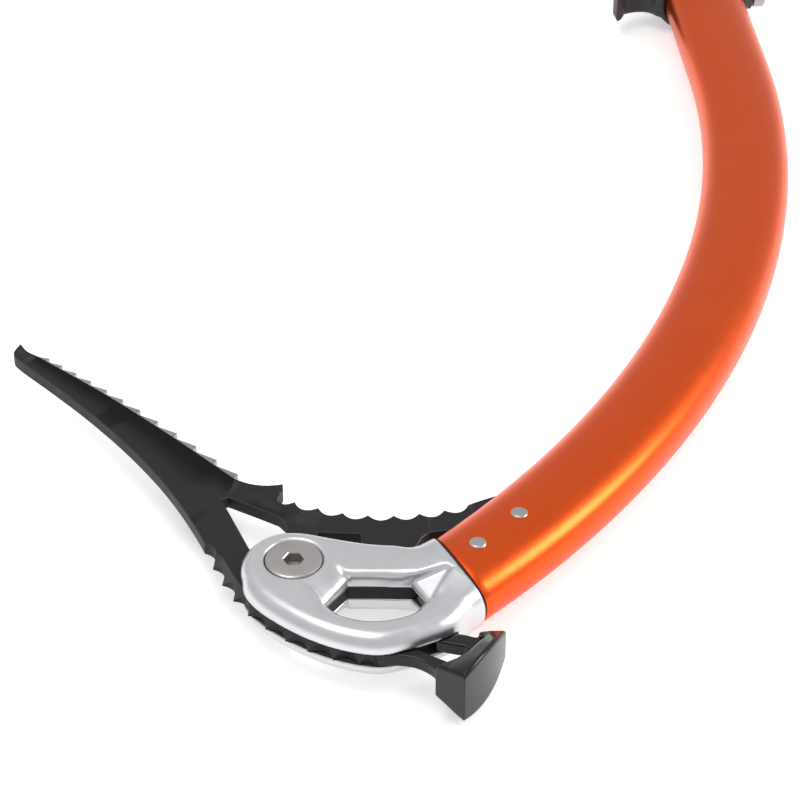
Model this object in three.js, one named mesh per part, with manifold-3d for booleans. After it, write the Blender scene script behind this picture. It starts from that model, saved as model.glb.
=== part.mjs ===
// Ice axe with a bent aluminium shaft, a forged head, a replaceable pick and a hammer.
// It lies on its side: +Z is up, X and Y lie in the plane of the blade, and the grip
// runs off towards +Y. Millimetres. Shapes are drawn around the middle of the round nose,
// and the whole axe is moved at the end so that its box stands centred on the origin.
import * as THREE from 'three';
import { mergeVertices } from 'three/addons/utils/BufferGeometryUtils.js';
import Module from 'manifold-3d';

const wasm = await Module();
wasm.setup();

const DEGREE = Math.PI / 180;

// ---------------------------------------------------------------- driving dimensions

// Fits
const fitGap = 0.3;            // between curved neighbours
const slotGap = 0.15;          // on each side of a plate in the head's slot

// Shaft: an oval tube, bent to one arc, then straight to the spike
const shaftWidth = 28.5;       // in the plane of the blade
const shaftThickness = 18.1;   // across the blade
const shaftWall = 1.6;
const ovalPower = 2.4;         // 2 is an ellipse, more is squarer
const innerBendRadius = 334.2; // of the edge that faces the pick
const collarHeading = 45.3;    // degrees from +X, where the shaft leaves the head
const gripHeading = 95;        // degrees from +X, along the straight grip
const straightLength = 175;    // from the end of the bend to the end of the tube
const collarCorner = new THREE.Vector2(36.0, 11.0);

// Head forging
const headThickness = 14.1;
const headEdgeRound = 3.2;
const noseRadius = 14.5;       // round the bolt
const collarBlend = 20;        // over which the cheeks swell into the collar
const spigotLength = 34;       // of the tang inside the tube
const seamStation = -2.2;      // where head and tube meet, along the shaft's centreline
const seamSlope = 0.28;        // the seam leans: forward on the pick side

// Pick and hammer plates
const plateThickness = 4.0;
const toothCount = 12;
const firstToothPitch = 5.6;
const toothPitchGrowth = 0.38;
const toothDepth = 1.5;
const toothDepthGrowth = 0.04; // of each tooth over the one before, as a share of the first
const scallopDepth = 2.26;     // branch edge
const scallopCount = 7;
const noseToothDepth = 1.91;   // teeth round the head
const noseToothCount = 9.6;    // the one at the split is cut short
const plateSplit = 23;         // where the pick ends and the hammer begins
const splitGap = 0.5;
const hammerFaceThickness = 6.5;

// Bolt and nut
const boltCentre = new THREE.Vector2(0, 1.3); // from the middle of the nose
const boltHeadDiameter = 16;
const boltHeadThickness = 2.7;
const boltShankDiameter = 8;
const socketAcrossFlats = 5;
const socketDepth = 3.4;
const nutDiameter = 14;
const nutThickness = 2.7;

// Seal and rivets
const sealWidth = 1.2;
const rivetDiameter = 4;
const rivetHeadDiameter = 5.2;
const rivetHeadHeight = 0.5;
const headRivetStations = [6.4, 24.0];

// Grip, pommel and spike
const gripLength = 84;
const gripWall = 2.2;
const pommelLength = 13;
const pommelReach = 15;        // of the little finger's rest beyond the tube
const bareEnd = 13;            // tube left bare between pommel and spike
const spikeLength = 40;
const spikeBlade = 5;
const clipHoleDiameter = 12;
const tangLength = 30;

// Sliding finger rest
const restLength = 13;
const restWall = 2.0;
const restReach = 19;          // of its hook beyond the tube
const restGapToGrip = 2;
const thumbScrewDiameter = 10;
const thumbScrewHeight = 5;
const studDiameter = 4;
const shoeThickness = 1;

// ---------------------------------------------------------------- solids

function toSolid(geometry) {
  const bare = geometry.clone();
  bare.deleteAttribute('normal');
  bare.deleteAttribute('uv');
  const merged = mergeVertices(bare, 1e-4);
  const corners = merged.index.array;
  const triangles = [];
  for (let i = 0; i < corners.length; i += 3) {
    const [a, b, c] = corners.slice(i, i + 3);
    if (a !== b && b !== c && c !== a) triangles.push(a, b, c);
  }
  return new wasm.Manifold(new wasm.Mesh({
    numProp: 3,
    vertProperties: new Float32Array(merged.attributes.position.array),
    triVerts: new Uint32Array(triangles),
  }));
}

function toGeometry(solid) {
  const mesh = solid.getMesh();
  const geometry = new THREE.BufferGeometry();
  geometry.setAttribute('position', new THREE.BufferAttribute(mesh.vertProperties, 3));
  geometry.setIndex(new THREE.BufferAttribute(mesh.triVerts, 1));
  geometry.computeVertexNormals();
  return geometry;
}

// An outline's points, turning one way, without those that repeat the one before.
function tidyLoop(points, clockwise) {
  const distinct = points.filter((point, i) => {
    const before = points[(i + points.length - 1) % points.length];
    return point.distanceTo(before) > 1e-3;
  });
  return THREE.ShapeUtils.isClockWise(distinct) === clockwise ? distinct : distinct.reverse();
}

// A plate: an outline in the plane of the blade, centred on that plane.
function plateGeometry(shape, thickness, bevel = 0, curveSegments = 6) {
  const outline = shape.extractPoints(curveSegments);
  const flat = new THREE.Shape(tidyLoop(outline.shape, false));
  flat.holes = outline.holes.map((hole) => new THREE.Path(tidyLoop(hole, true)));
  const geometry = new THREE.ExtrudeGeometry(flat, {
    depth: thickness - 2 * bevel,
    bevelEnabled: bevel > 0,
    bevelThickness: bevel,
    bevelSize: bevel,
    bevelOffset: -bevel,
    bevelSegments: 3,
  });
  return geometry.translate(0, 0, bevel - thickness / 2);
}

function plate(...sizes) {
  return toSolid(plateGeometry(...sizes));
}

// An upright cylinder from one height to another.
function upright(x, y, diameter, bottom, top, sides = 32) {
  const geometry = new THREE.CylinderGeometry(diameter / 2, diameter / 2, top - bottom, sides);
  geometry.rotateX(Math.PI / 2);
  geometry.translate(x, y, (top + bottom) / 2);
  return toSolid(geometry);
}

// ---------------------------------------------------------------- the shaft's line

const startHeading = collarHeading * DEGREE;
const endHeading = gripHeading * DEGREE;
const bendRadius = innerBendRadius + shaftWidth / 2;
const bendLength = bendRadius * (endHeading - startHeading);
const tubeEnd = bendLength + straightLength;
const bendCentre = new THREE.Vector2(-Math.sin(startHeading), Math.cos(startHeading))
  .multiplyScalar(innerBendRadius)
  .add(collarCorner);

// Place and direction of the centreline, a distance along it from the collar.
function shaftFrame(station) {
  const turned = THREE.MathUtils.clamp(station, 0, bendLength);
  const heading = startHeading + turned / bendRadius;
  const along = new THREE.Vector3(Math.cos(heading), Math.sin(heading), 0);
  const towardsPick = new THREE.Vector3(-Math.sin(heading), Math.cos(heading), 0);
  const origin = new THREE.Vector3(bendCentre.x, bendCentre.y, 0)
    .addScaledVector(towardsPick, -bendRadius)
    .addScaledVector(along, station - turned);
  return { along, towardsPick, origin };
}

// A point beside the centreline, in the plane of the blade.
function besideShaft(station, offset) {
  const { origin, towardsPick } = shaftFrame(station);
  return new THREE.Vector2(origin.x, origin.y)
    .add(new THREE.Vector2(towardsPick.x, towardsPick.y).multiplyScalar(offset));
}

// Moves a shape drawn round the shaft: its X points to the pick side, its Y to the head.
function placeOnShaft(geometry, station) {
  const { origin, along, towardsPick } = shaftFrame(station);
  const up = new THREE.Vector3(0, 0, 1);
  const basis = new THREE.Matrix4().makeBasis(towardsPick, along.clone().negate(), up);
  return geometry.applyMatrix4(basis.setPosition(origin));
}

// A solid of oval sections. Each section is { at, width, thickness } along the shaft,
// and may lean by a slope: its pick side then lies farther along.
const ringPoints = 28;
function ovalLoft(sections) {
  const positions = [];
  const indices = [];
  for (const { at, width, thickness, power = ovalPower, slope = 0 } of sections) {
    for (let i = 0; i < ringPoints; i += 1) {
      const angle = (2 * Math.PI * i) / ringPoints;
      const rounding = (value) => Math.sign(value) * Math.abs(value) ** (2 / power);
      const sideways = (width / 2) * rounding(Math.cos(angle));
      const point = besideShaft(at + slope * sideways, sideways);
      positions.push(point.x, point.y, (thickness / 2) * rounding(Math.sin(angle)));
    }
  }
  for (let ring = 0; ring < sections.length - 1; ring += 1) {
    for (let i = 0; i < ringPoints; i += 1) {
      const a = ring * ringPoints + i;
      const b = ring * ringPoints + ((i + 1) % ringPoints);
      indices.push(a, b, b + ringPoints, a, b + ringPoints, a + ringPoints);
    }
  }
  const last = (sections.length - 1) * ringPoints;
  for (let i = 1; i < ringPoints - 1; i += 1) {
    indices.push(0, i + 1, i, last, last + i, last + i + 1);
  }
  const geometry = new THREE.BufferGeometry();
  geometry.setAttribute('position', new THREE.Float32BufferAttribute(positions, 3));
  geometry.setIndex(indices);
  return toSolid(geometry);
}

// Even sections of one size, closer together where the shaft bends. The first may lean.
function ovalBar(from, to, { width, thickness }, slope = 0) {
  const stepAngle = 2.6 * DEGREE;
  const stations = [from];
  const bentTo = Math.min(to, bendLength);
  const bentSteps = Math.ceil((bentTo - from) / (bendRadius * stepAngle));
  for (let i = 1; i <= bentSteps; i += 1) stations.push(from + ((bentTo - from) * i) / bentSteps);
  if (to > bendLength) stations.push(to);
  return ovalLoft(stations.map((at) => ({ at, width, thickness, slope: at === from ? slope : 0 })));
}

// The tube's oval, grown by a distance on every side.
function tubeOval(growth) {
  return { width: shaftWidth + 2 * growth, thickness: shaftThickness + 2 * growth };
}

// ---------------------------------------------------------------- outlines

function throughPoints(shape, points) {
  shape.splineThru(points.map(([x, y]) => new THREE.Vector2(x, y)));
}

function lineTo(shape, points) {
  for (const [x, y] of points) shape.lineTo(x, y);
}

const slotFloor = { lower: [44.5, -24.5], upper: [33, 10] };

// Seen from the side: a round nose at the bolt, a long beam under the window, and an
// end that runs past the seam, where it is trimmed.
function headOutline() {
  const shape = new THREE.Shape();
  const noseStart = 100 * DEGREE;
  const noseEnd = 196 * DEGREE;
  const beside = (station, share) => besideShaft(station, (share * shaftWidth) / 2).toArray();
  const pastSeam = 3 * headEdgeRound;
  shape.moveTo(...beside(pastSeam, 0.86));
  throughPoints(shape, [
    [34.6, 10.0], [28.5, 8.9], [20.9, 9.4], [12.0, 11.4],
    [noseRadius * Math.cos(noseStart) + 5.5, noseRadius * Math.sin(noseStart) - 0.4],
    [noseRadius * Math.cos(noseStart), noseRadius * Math.sin(noseStart)],
  ]);
  shape.absarc(0, 0, noseRadius, noseStart, noseEnd, false);
  throughPoints(shape, [
    [-13.1, -9.0], [-9.6, -14.6], [-3.1, -20.9], [5.1, -26.8],
    [14, -31.0], [23.5, -32.9], [32, -30.6], [40.5, -26.6],
  ]);
  shape.quadraticCurveTo(46.5, -23, ...beside(-pastSeam, -0.96));
  shape.lineTo(...beside(pastSeam, -0.86));
  shape.quadraticCurveTo(...beside(2 * pastSeam, -0.86), ...beside(2 * pastSeam, 0));
  shape.quadraticCurveTo(...beside(2 * pastSeam, 0.86), ...beside(pastSeam, 0.86));
  return shape;
}

// The carabiner window, through cheeks and plates: flat on the shaft side, round below.
const windowCorners = {
  topLeft: [15.2, -5.3], topRight: [32.2, -5.3],
  left: [8.9, -14.4], right: [36.9, -13.2], bottom: [22.8, -21.7],
};

function windowOutline(grow = 0) {
  const { topLeft, topRight, left, right, bottom } = windowCorners;
  const shape = new THREE.Shape();
  shape.moveTo(topRight[0] + grow / 2, topRight[1] + grow);
  shape.lineTo(topLeft[0] - grow / 2, topLeft[1] + grow);
  shape.lineTo(left[0] - grow, left[1]);
  throughPoints(shape, [
    [14.2 - grow / 2, -19.8 - grow], [bottom[0], bottom[1] - grow],
    [31.6 + grow / 2, -19.1 - grow], [right[0] + grow, right[1]],
  ]);
  shape.closePath();
  return shape;
}

// The window's rim is dished on each face: rolled at the top, scooped at both ends.
function windowDish(side) {
  const face = headThickness / 2;
  const floor = plateThickness / 2 + 1.6;
  const { topLeft, topRight, left, right, bottom } = windowCorners;
  const inner = [topRight, topLeft, left, [14.2, -19.8], bottom, [31.6, -19.1], right];
  const outer = [[36.5, -2.0], [12.4, -2.0], [3.9, -9.6], [13.6, -20.3], bottom, [32.2, -19.6],
    [42.6, -6.2]];
  const positions = [];
  const indices = [];
  inner.forEach(([x, y]) => positions.push(x, y, floor));
  outer.forEach(([x, y]) => positions.push(x, y, face + 0.5));
  const count = inner.length;
  for (let i = 0; i < count; i += 1) {
    const next = (i + 1) % count;
    indices.push(i, next, count + next, i, count + next, count + i);
  }
  for (let i = 1; i < count - 1; i += 1) {
    indices.push(0, i + 1, i, count, count + i, count + i + 1);
  }
  const geometry = new THREE.BufferGeometry();
  geometry.setAttribute('position', new THREE.Float32BufferAttribute(positions, 3));
  geometry.setIndex(indices);
  const dish = toSolid(geometry);
  return side > 0 ? dish : dish.rotate([180, 0, 0]).mirror([0, 1, 0]);
}

// Everything on the nose side of the slot's floor.
function slotOutline(inset = 0) {
  const { lower, upper } = slotFloor;
  const shape = new THREE.Shape();
  shape.moveTo(upper[0] - inset, upper[1]);
  lineTo(shape, [
    [upper[0] - inset - 2, upper[1] + 40], [-60, 60], [-60, -60],
    [lower[0] + 20 - inset, -60], [lower[0] + 20 - inset, lower[1] + 1.5],
    [lower[0] - 0.5 - inset, lower[1] + 1.5],
  ]);
  shape.closePath();
  return shape;
}

// Scallops bitten into an edge: concave curves from peak to peak along a line.
function scallopAlong(shape, line, count, depth) {
  for (let left = Math.ceil(count); left > 0; left -= 1) {
    const whole = Math.min(1, count - left + 1);
    const start = line.getPointAt(Math.max(0, count - left) / count);
    const end = line.getPointAt((count - left + 1) / count);
    const chord = end.clone().sub(start);
    const inward = new THREE.Vector2(chord.y, -chord.x).normalize();
    const middle = start.clone().add(end).multiplyScalar(0.5);
    middle.addScaledVector(inward, 2 * depth * whole);
    shape.quadraticCurveTo(middle.x, middle.y, end.x, end.y);
  }
}

function curveThrough(points) {
  return new THREE.SplineCurve(points.map(([x, y]) => new THREE.Vector2(x, y)));
}

function pickOutline() {
  const shape = new THREE.Shape();
  const tip = [-87.0, 109.2];
  const branchGap = fitGap + 0.1;
  shape.moveTo(...tip);

  // Ice teeth: a ramp that rises away from the tip, then a steep drop
  const toothLine = curveThrough([[-77.5, 101.6], [-58.2, 85.2], [-36.7, 64.7], [-17.6, 45.1]]);
  const lineLength = toothLine.getLength();
  throughPoints(shape, [[-84.6, 105.4], [-81.0, 102.7]]);
  let travelled = 0;
  for (let tooth = 0; tooth < toothCount; tooth += 1) {
    const peak = toothLine.getPointAt(Math.min(1, travelled / lineLength));
    const depth = toothDepth * (1 + toothDepthGrowth * tooth);
    shape.lineTo(peak.x, peak.y);
    shape.lineTo(peak.x - 0.35 * depth, peak.y - depth);
    travelled += firstToothPitch + toothPitchGrowth * tooth;
  }

  // The hook at the root of the branch
  throughPoints(shape, [[-13.8, 40.6], [-8.9, 39.8], [-4.4, 40.4]]);
  throughPoints(shape, [[-4.3, 36.9], [-5.6, 33.4], [-3.6, 31.3], [-0.7, 32.3]]);

  // The branch, scalloped to its end against the shaft's inner edge
  const branchLine = curveThrough([[-0.7, 32.3], [13.3, 27.4], [27.8, 26.3], [42.1, 28.7], [48.5, 31]]);
  scallopAlong(shape, branchLine, scallopCount, scallopDepth);
  const innerEdge = shaftWidth / 2 + branchGap;
  const branchEnd = besideShaft(34, innerEdge);
  throughPoints(shape, [[52.6, 33.2], [branchEnd.x, branchEnd.y]]);
  for (const station of [28, 22, 17, 12.5]) {
    const point = besideShaft(station, innerEdge);
    shape.lineTo(point.x, point.y);
  }

  // Down into the slot, along its floor to the top of the window
  const clear = 0.4;
  lineTo(shape, [
    [37.6, 18.8], [35.4, 16.5], [33.6, 12.4],
    [slotFloor.upper[0] - clear, slotFloor.upper[1] + 0.6], [37.4, -4.2],
    [windowCorners.topRight[0] + fitGap, windowCorners.topRight[1] + fitGap],
    [windowCorners.topLeft[0] - fitGap, windowCorners.topLeft[1] + fitGap],
    [windowCorners.left[0] - fitGap, windowCorners.left[1]],
  ]);
  throughPoints(shape, [[14.2, -20.1], [plateSplit - splitGap / 2, windowCorners.bottom[1] - fitGap]]);
  shape.lineTo(plateSplit - splitGap / 2, -32.6);

  // Teeth round the outside of the head, then the plain back edge to the tip
  const noseLine = curveThrough([
    [plateSplit - splitGap / 2, -32.6], [14.2, -31.0], [3.7, -26.6], [-7.4, -17.9],
    [-16.6, -6.3], [-22.8, 7.0], [-25.4, 13.8],
  ]);
  scallopAlong(shape, noseLine, noseToothCount, noseToothDepth);
  throughPoints(shape, [
    [-28.1, 20.2], [-33.9, 32.2], [-41.2, 44.9], [-51.4, 59.8], [-63.2, 74.7],
    [-75.1, 88.1], [-86.2, 100.0], [-88.6, 104.4], tip,
  ]);

  // The fork between blade and branch, and the notch under the branch
  const fork = new THREE.Path();
  fork.moveTo(-21.6, 33.4);
  lineTo(fork, [[-19.8, 34.3], [-12.0, 29.8], [-5.0, 25.6], [-3.0, 22.8], [-2.6, 12.6], [-11.8, 9.2]]);
  fork.closePath();
  const notch = new THREE.Path();
  notch.moveTo(6.1, 19.8);
  lineTo(notch, [[18.2, 19.4], [18.2, 7.6], [8.2, 9.4], [6.1, 12.0]]);
  notch.closePath();
  shape.holes.push(fork, notch);
  return shape;
}

function hammerOutline() {
  const shape = new THREE.Shape();
  const start = plateSplit + splitGap / 2;
  shape.moveTo(start, windowCorners.bottom[1] - fitGap);
  throughPoints(shape, [[31.8, -19.5], [windowCorners.right[0] + fitGap, windowCorners.right[1]]]);
  lineTo(shape, [
    [windowCorners.topRight[0] + 1.6, windowCorners.topRight[1] - 0.9],
    [37.9, -5.3], [slotFloor.lower[0] - 0.6, slotFloor.lower[1] + 1.0],
    [46.9, -24.2], [50.6, -25.6], [52.0, -29.0], [47.0, -40.0], [40.0, -40.0],
  ]);
  throughPoints(shape, [[37.4, -36.4], [33.4, -33.6], [28.6, -32.6], [start, -32.6]]);
  shape.closePath();
  const gap = new THREE.Path();
  gap.moveTo(32.6, -23.4);
  lineTo(gap, [[31.8, -26.2], [33.6, -29.8], [38.7, -33.0], [42.6, -35.2], [46.2, -34.4],
    [48.4, -30.4], [46.3, -28.7], [41.8, -27.6], [38.9, -26.6], [37.8, -22.2]]);
  gap.closePath();
  shape.holes.push(gap);
  return shape;
}

// ---------------------------------------------------------------- the head

function headForging() {
  const halfSlot = plateThickness / 2 + slotGap;
  const cheeks = plate(headOutline(), headThickness, headEdgeRound, 5);
  const collar = ovalLoft([
    { at: -collarBlend, width: shaftWidth * 0.78, thickness: headThickness * 0.8 },
    { at: -collarBlend * 0.62, width: shaftWidth * 0.92, thickness: headThickness * 1.02 },
    { at: -collarBlend * 0.28, width: shaftWidth * 0.99, thickness: shaftThickness * 0.95 },
    { at: seamStation, ...tubeOval(0), slope: seamSlope },
    { at: spigotLength / 2, ...tubeOval(0) },
  ]);
  const pastSeam = ovalBar(seamStation, spigotLength * 1.5, tubeOval(shaftThickness), seamSlope);
  const spigot = ovalBar(seamStation - 1, spigotLength, tubeOval(-shaftWall - fitGap), seamSlope);
  const slot = plate(slotOutline(), 2 * halfSlot);
  const window = plate(windowOutline(), shaftThickness * 2);
  const face = headThickness / 2;
  let forging = cheeks.add(collar).subtract(pastSeam).subtract(window);
  forging = forging.subtract(windowDish(1)).subtract(windowDish(-1));
  forging = forging.subtract(slot).add(spigot);
  const boltSeat = upright(...boltCentre, boltHeadDiameter + 2 * fitGap,
    face - boltHeadThickness - slotGap, face + 1);
  const nutSeat = upright(...boltCentre, nutDiameter + 2 * fitGap,
    -face - 1, -face + nutThickness + slotGap);
  const bore = upright(...boltCentre, boltShankDiameter + 2 * fitGap, -face, face, 24);
  forging = forging.subtract(boltSeat).subtract(nutSeat).subtract(bore);
  return headRivetStations.reduce((solid, at) => solid.subtract(rivetHole(at)), forging);
}

function pickPlate() {
  const bore = upright(
    ...boltCentre, boltShankDiameter + 2 * fitGap, -plateThickness, plateThickness, 24);
  return plate(pickOutline(), plateThickness, 0, 4).subtract(bore);
}

// The hammer's block flares towards the corner of its striking face that is
// farthest from the shaft, above and below alike. The face is domed both ways.
const hammerCorners = {
  back: [38.4, -40.4], faceLow: [46.0, -47.8], faceHigh: [57.6, -25.9],
  top: [50.2, -24.8], inner: [51.6, -28.6], heel: [46.6, -35.6],
};
const hammerHeights = { back: 5.8, faceLow: 8.2, faceHigh: 5.2 };
const hammerDome = 1.2;
const hammerCrown = 2.2;

function hammerBlock() {
  const { back, faceLow, faceHigh, top, inner, heel } = hammerCorners;
  const low = new THREE.Vector2(...faceLow);
  const high = new THREE.Vector2(...faceHigh);
  const faceLine = high.clone().sub(low);
  const outward = new THREE.Vector2(faceLine.y, -faceLine.x).normalize();
  const domed = low.clone().add(high).multiplyScalar(0.5).addScaledVector(outward, 2 * hammerDome);
  const planes = new THREE.Matrix3().set(1, ...back, 1, ...faceLow, 1, ...faceHigh).invert();
  const slope = new THREE.Vector3(
    hammerHeights.back, hammerHeights.faceLow, hammerHeights.faceHigh).applyMatrix3(planes);

  // The height of the block over the plane of the blade, fullest in the middle of the face
  function halfHeight(point) {
    const fromLow = point.clone().sub(low);
    const share = THREE.MathUtils.clamp(fromLow.dot(faceLine) / faceLine.lengthSq(), 0, 1);
    const behind = Math.max(0, -fromLow.dot(outward));
    const fullness = Math.max(0, 1 - behind / hammerFaceThickness);
    const flat = slope.x + slope.y * point.x + slope.z * point.y;
    return flat + hammerCrown * 4 * share * (1 - share) * fullness;
  }
  const shape = new THREE.Shape();
  shape.moveTo(...back);
  shape.lineTo(...faceLow);
  shape.quadraticCurveTo(...domed, ...faceHigh);
  lineTo(shape, [top, inner, heel]);
  shape.closePath();
  const geometry = plateGeometry(shape, 2, 0, 6);
  const position = geometry.attributes.position;
  for (let i = 0; i < position.count; i += 1) {
    const point = new THREE.Vector2(position.getX(i), position.getY(i));
    position.setZ(i, Math.sign(position.getZ(i)) * halfHeight(point));
  }
  return toSolid(geometry);
}

function hammer() {
  return plate(hammerOutline(), plateThickness, 0, 4).add(hammerBlock());
}

function pickBolt() {
  const face = headThickness / 2;
  const chamfer = 0.5;
  const radius = boltHeadDiameter / 2;
  const profile = [
    [0, face], [radius - chamfer, face], [radius, face - chamfer], [radius, face - boltHeadThickness],
    [boltShankDiameter / 2, face - boltHeadThickness], [boltShankDiameter / 2, -face + 0.6],
    [0, -face + 0.6],
  ].map(([x, y]) => new THREE.Vector2(x, y));
  const body = new THREE.LatheGeometry(profile.reverse(), 36).rotateX(Math.PI / 2);
  body.translate(...boltCentre, 0);
  const socket = new THREE.CylinderGeometry(
    socketAcrossFlats / Math.sqrt(3), socketAcrossFlats / Math.sqrt(3), socketDepth + 1, 6);
  socket.rotateX(Math.PI / 2).translate(...boltCentre, face - socketDepth / 2 + 0.5);
  return toSolid(body).subtract(toSolid(socket));
}

function boltNut() {
  const face = headThickness / 2;
  const bore = upright(
    ...boltCentre, boltShankDiameter + 2 * fitGap, -face - 1, -face + nutThickness + 1, 24);
  return upright(...boltCentre, nutDiameter, -face, -face + nutThickness, 32).subtract(bore);
}

// ---------------------------------------------------------------- shaft, seal and rivets

function rivetHole(station) {
  const { origin } = shaftFrame(station);
  return upright(origin.x, origin.y, rivetDiameter + 2 * fitGap,
    -shaftThickness, shaftThickness, 20);
}

// A through rivet with a low dome on each side of the tube.
function rivet(station) {
  const { origin } = shaftFrame(station);
  const faceHeight = shaftThickness / 2;
  const radius = rivetHeadDiameter / 2;
  const half = [
    [rivetDiameter / 2, faceHeight], [radius, faceHeight + 0.1], [radius, faceHeight + 0.3],
    [radius * 0.7, faceHeight + rivetHeadHeight - 0.1], [0, faceHeight + rivetHeadHeight],
  ];
  const otherHalf = half.map(([x, y]) => [x, -y]).reverse();
  const profile = [...otherHalf, ...half].map(([x, y]) => new THREE.Vector2(x, y));
  const geometry = new THREE.LatheGeometry(profile, 20).rotateX(Math.PI / 2);
  geometry.translate(origin.x, origin.y, 0);
  return toSolid(geometry);
}

function shaftTube() {
  const start = seamStation + sealWidth + 2 * slotGap;
  const tube = ovalBar(start, tubeEnd, tubeOval(0), seamSlope)
    .subtract(ovalBar(start - 20, tubeEnd + 1, tubeOval(-shaftWall)));
  return [...headRivetStations, spikeRivetStation].reduce(
    (solid, at) => solid.subtract(rivetHole(at)), tube);
}

function shaftSeal() {
  const oval = tubeOval(0);
  const edges = [seamStation + slotGap, seamStation + slotGap + sealWidth];
  return ovalLoft(edges.map((at) => ({ at, ...oval, slope: seamSlope })))
    .subtract(ovalBar(-20, 20, tubeOval(-shaftWall)));
}

// ---------------------------------------------------------------- grip end

const spikeRivetStation = tubeEnd - bareEnd / 2;
const pommelEnd = tubeEnd - bareEnd;
const gripEnd = pommelEnd - pommelLength;
const gripStart = gripEnd - gripLength;
const restEnd = gripStart - restGapToGrip;
const restStart = restEnd - restLength;

function gripSleeve() {
  const lip = 6;
  const grown = (growth) => tubeOval(fitGap + growth);
  const outer = [
    { at: gripStart, ...grown(gripWall * 0.55) },
    { at: gripStart + lip, ...grown(gripWall) },
    { at: gripEnd - slotGap, ...grown(gripWall) },
  ];
  return ovalLoft(outer).subtract(ovalBar(gripStart - 1, gripEnd + 1, grown(0)));
}

// A finger hook beside the shaft: hollow on the head side, with a raised tip.
function fingerHook(reach, height, thickness, station) {
  const root = shaftWidth / 2 - 1;
  const tip = shaftWidth / 2 + reach;
  const shape = new THREE.Shape();
  shape.moveTo(root, -height / 2);
  shape.quadraticCurveTo(tip - 4, -height / 2, tip, height * 0.3);
  shape.lineTo(tip - 0.6, height * 0.75);
  shape.quadraticCurveTo(tip - 3, height * 0.75, tip - 4.5, height * 0.3);
  shape.quadraticCurveTo(root + 7, 0, root + 4.5, height / 2);
  shape.lineTo(root, height / 2);
  shape.closePath();
  return toSolid(placeOnShaft(plateGeometry(shape, thickness), station));
}

function pommel() {
  const from = gripEnd + slotGap;
  const middle = (from + pommelEnd) / 2;
  const hook = fingerHook(pommelReach, pommelLength * 0.8, shaftThickness * 0.8, middle);
  return ovalBar(from, pommelEnd, tubeOval(fitGap + gripWall))
    .add(hook)
    .subtract(ovalBar(from - 2, pommelEnd + 2, tubeOval(fitGap)));
}

function spike() {
  const from = tubeEnd + fitGap;
  const along = (share) => from + spikeLength * share;
  const body = ovalLoft([
    { at: from, width: shaftWidth, thickness: shaftThickness },
    { at: along(0.08), width: shaftWidth, thickness: shaftThickness * 0.96 },
    { at: along(0.26), width: shaftWidth * 0.94, thickness: spikeBlade * 1.5 },
    { at: along(0.4), width: shaftWidth * 0.84, thickness: spikeBlade, power: 3 },
    { at: along(0.7), width: shaftWidth * 0.5, thickness: spikeBlade, power: 3 },
    { at: along(0.92), width: shaftWidth * 0.2, thickness: spikeBlade * 0.8, power: 3 },
    { at: along(1), width: 1.8, thickness: 1.8, power: 2 },
  ]);
  const hole = shaftFrame(along(0.44)).origin;
  return body
    .add(ovalBar(tubeEnd - tangLength, from + 1, tubeOval(-shaftWall - fitGap)))
    .subtract(upright(hole.x, hole.y, clipHoleDiameter, -shaftThickness, shaftThickness, 28))
    .subtract(rivetHole(spikeRivetStation));
}

// ---------------------------------------------------------------- sliding finger rest

const restMiddle = (restStart + restEnd) / 2;
const bossReach = shaftWidth / 2 + fitGap + restWall + 2;

function restBand() {
  const hook = fingerHook(restReach, restLength * 0.9, shaftThickness * 0.62, restMiddle);
  const bossRoot = shaftWidth * 0.28;
  const boss = new THREE.CylinderGeometry(
    restLength * 0.42, restLength * 0.46, bossReach - bossRoot, 20);
  boss.rotateZ(Math.PI / 2).translate(-(bossReach + bossRoot) / 2, 0, 0);
  const hole = sideways(-bossReach - 1, -bossRoot, studDiameter + 2 * fitGap);
  return ovalBar(restStart, restEnd, tubeOval(fitGap + restWall))
    .add(hook)
    .add(toSolid(placeOnShaft(boss, restMiddle)))
    .subtract(ovalBar(restStart - 4, restEnd + 4, tubeOval(fitGap)))
    .subtract(hole);
}

// A round bar across the shaft, at the middle of the finger rest.
function sideways(from, to, diameter) {
  const bar = new THREE.CylinderGeometry(diameter / 2, diameter / 2, Math.abs(to - from), 20);
  bar.rotateZ(Math.PI / 2).translate((from + to) / 2, 0, 0);
  return toSolid(placeOnShaft(bar, restMiddle));
}

function thumbScrew() {
  const seat = bossReach + slotGap;
  const stud = sideways(-seat - 1, -shaftWidth / 2 - fitGap - shoeThickness, studDiameter);
  return stud.add(sideways(-seat - thumbScrewHeight, -seat, thumbScrewDiameter));
}

function clampShoe() {
  const outside = shaftWidth / 2;
  return sideways(-outside - slotGap - shoeThickness, -outside - slotGap, studDiameter);
}

// ---------------------------------------------------------------- assembly

const finishes = {
  forged: { color: 0xc9cbce, roughness: 0.38, metalness: 1 },
  steel: { color: 0x2b2b2d, roughness: 0.5, metalness: 0.5 },
  fastener: { color: 0xb4b0a9, roughness: 0.35, metalness: 1 },
  anodised: { color: 0xd0521f, roughness: 0.3, metalness: 0.7 },
  rubber: { color: 0x1d1d1f, roughness: 0.8, metalness: 0 },
};

const axe = new THREE.Group();
const fingerRest = new THREE.Group();

function addPiece(group, name, solid, finish) {
  const mesh = new THREE.Mesh(toGeometry(solid), new THREE.MeshStandardMaterial(finishes[finish]));
  mesh.name = name;
  group.add(mesh);
}

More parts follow.
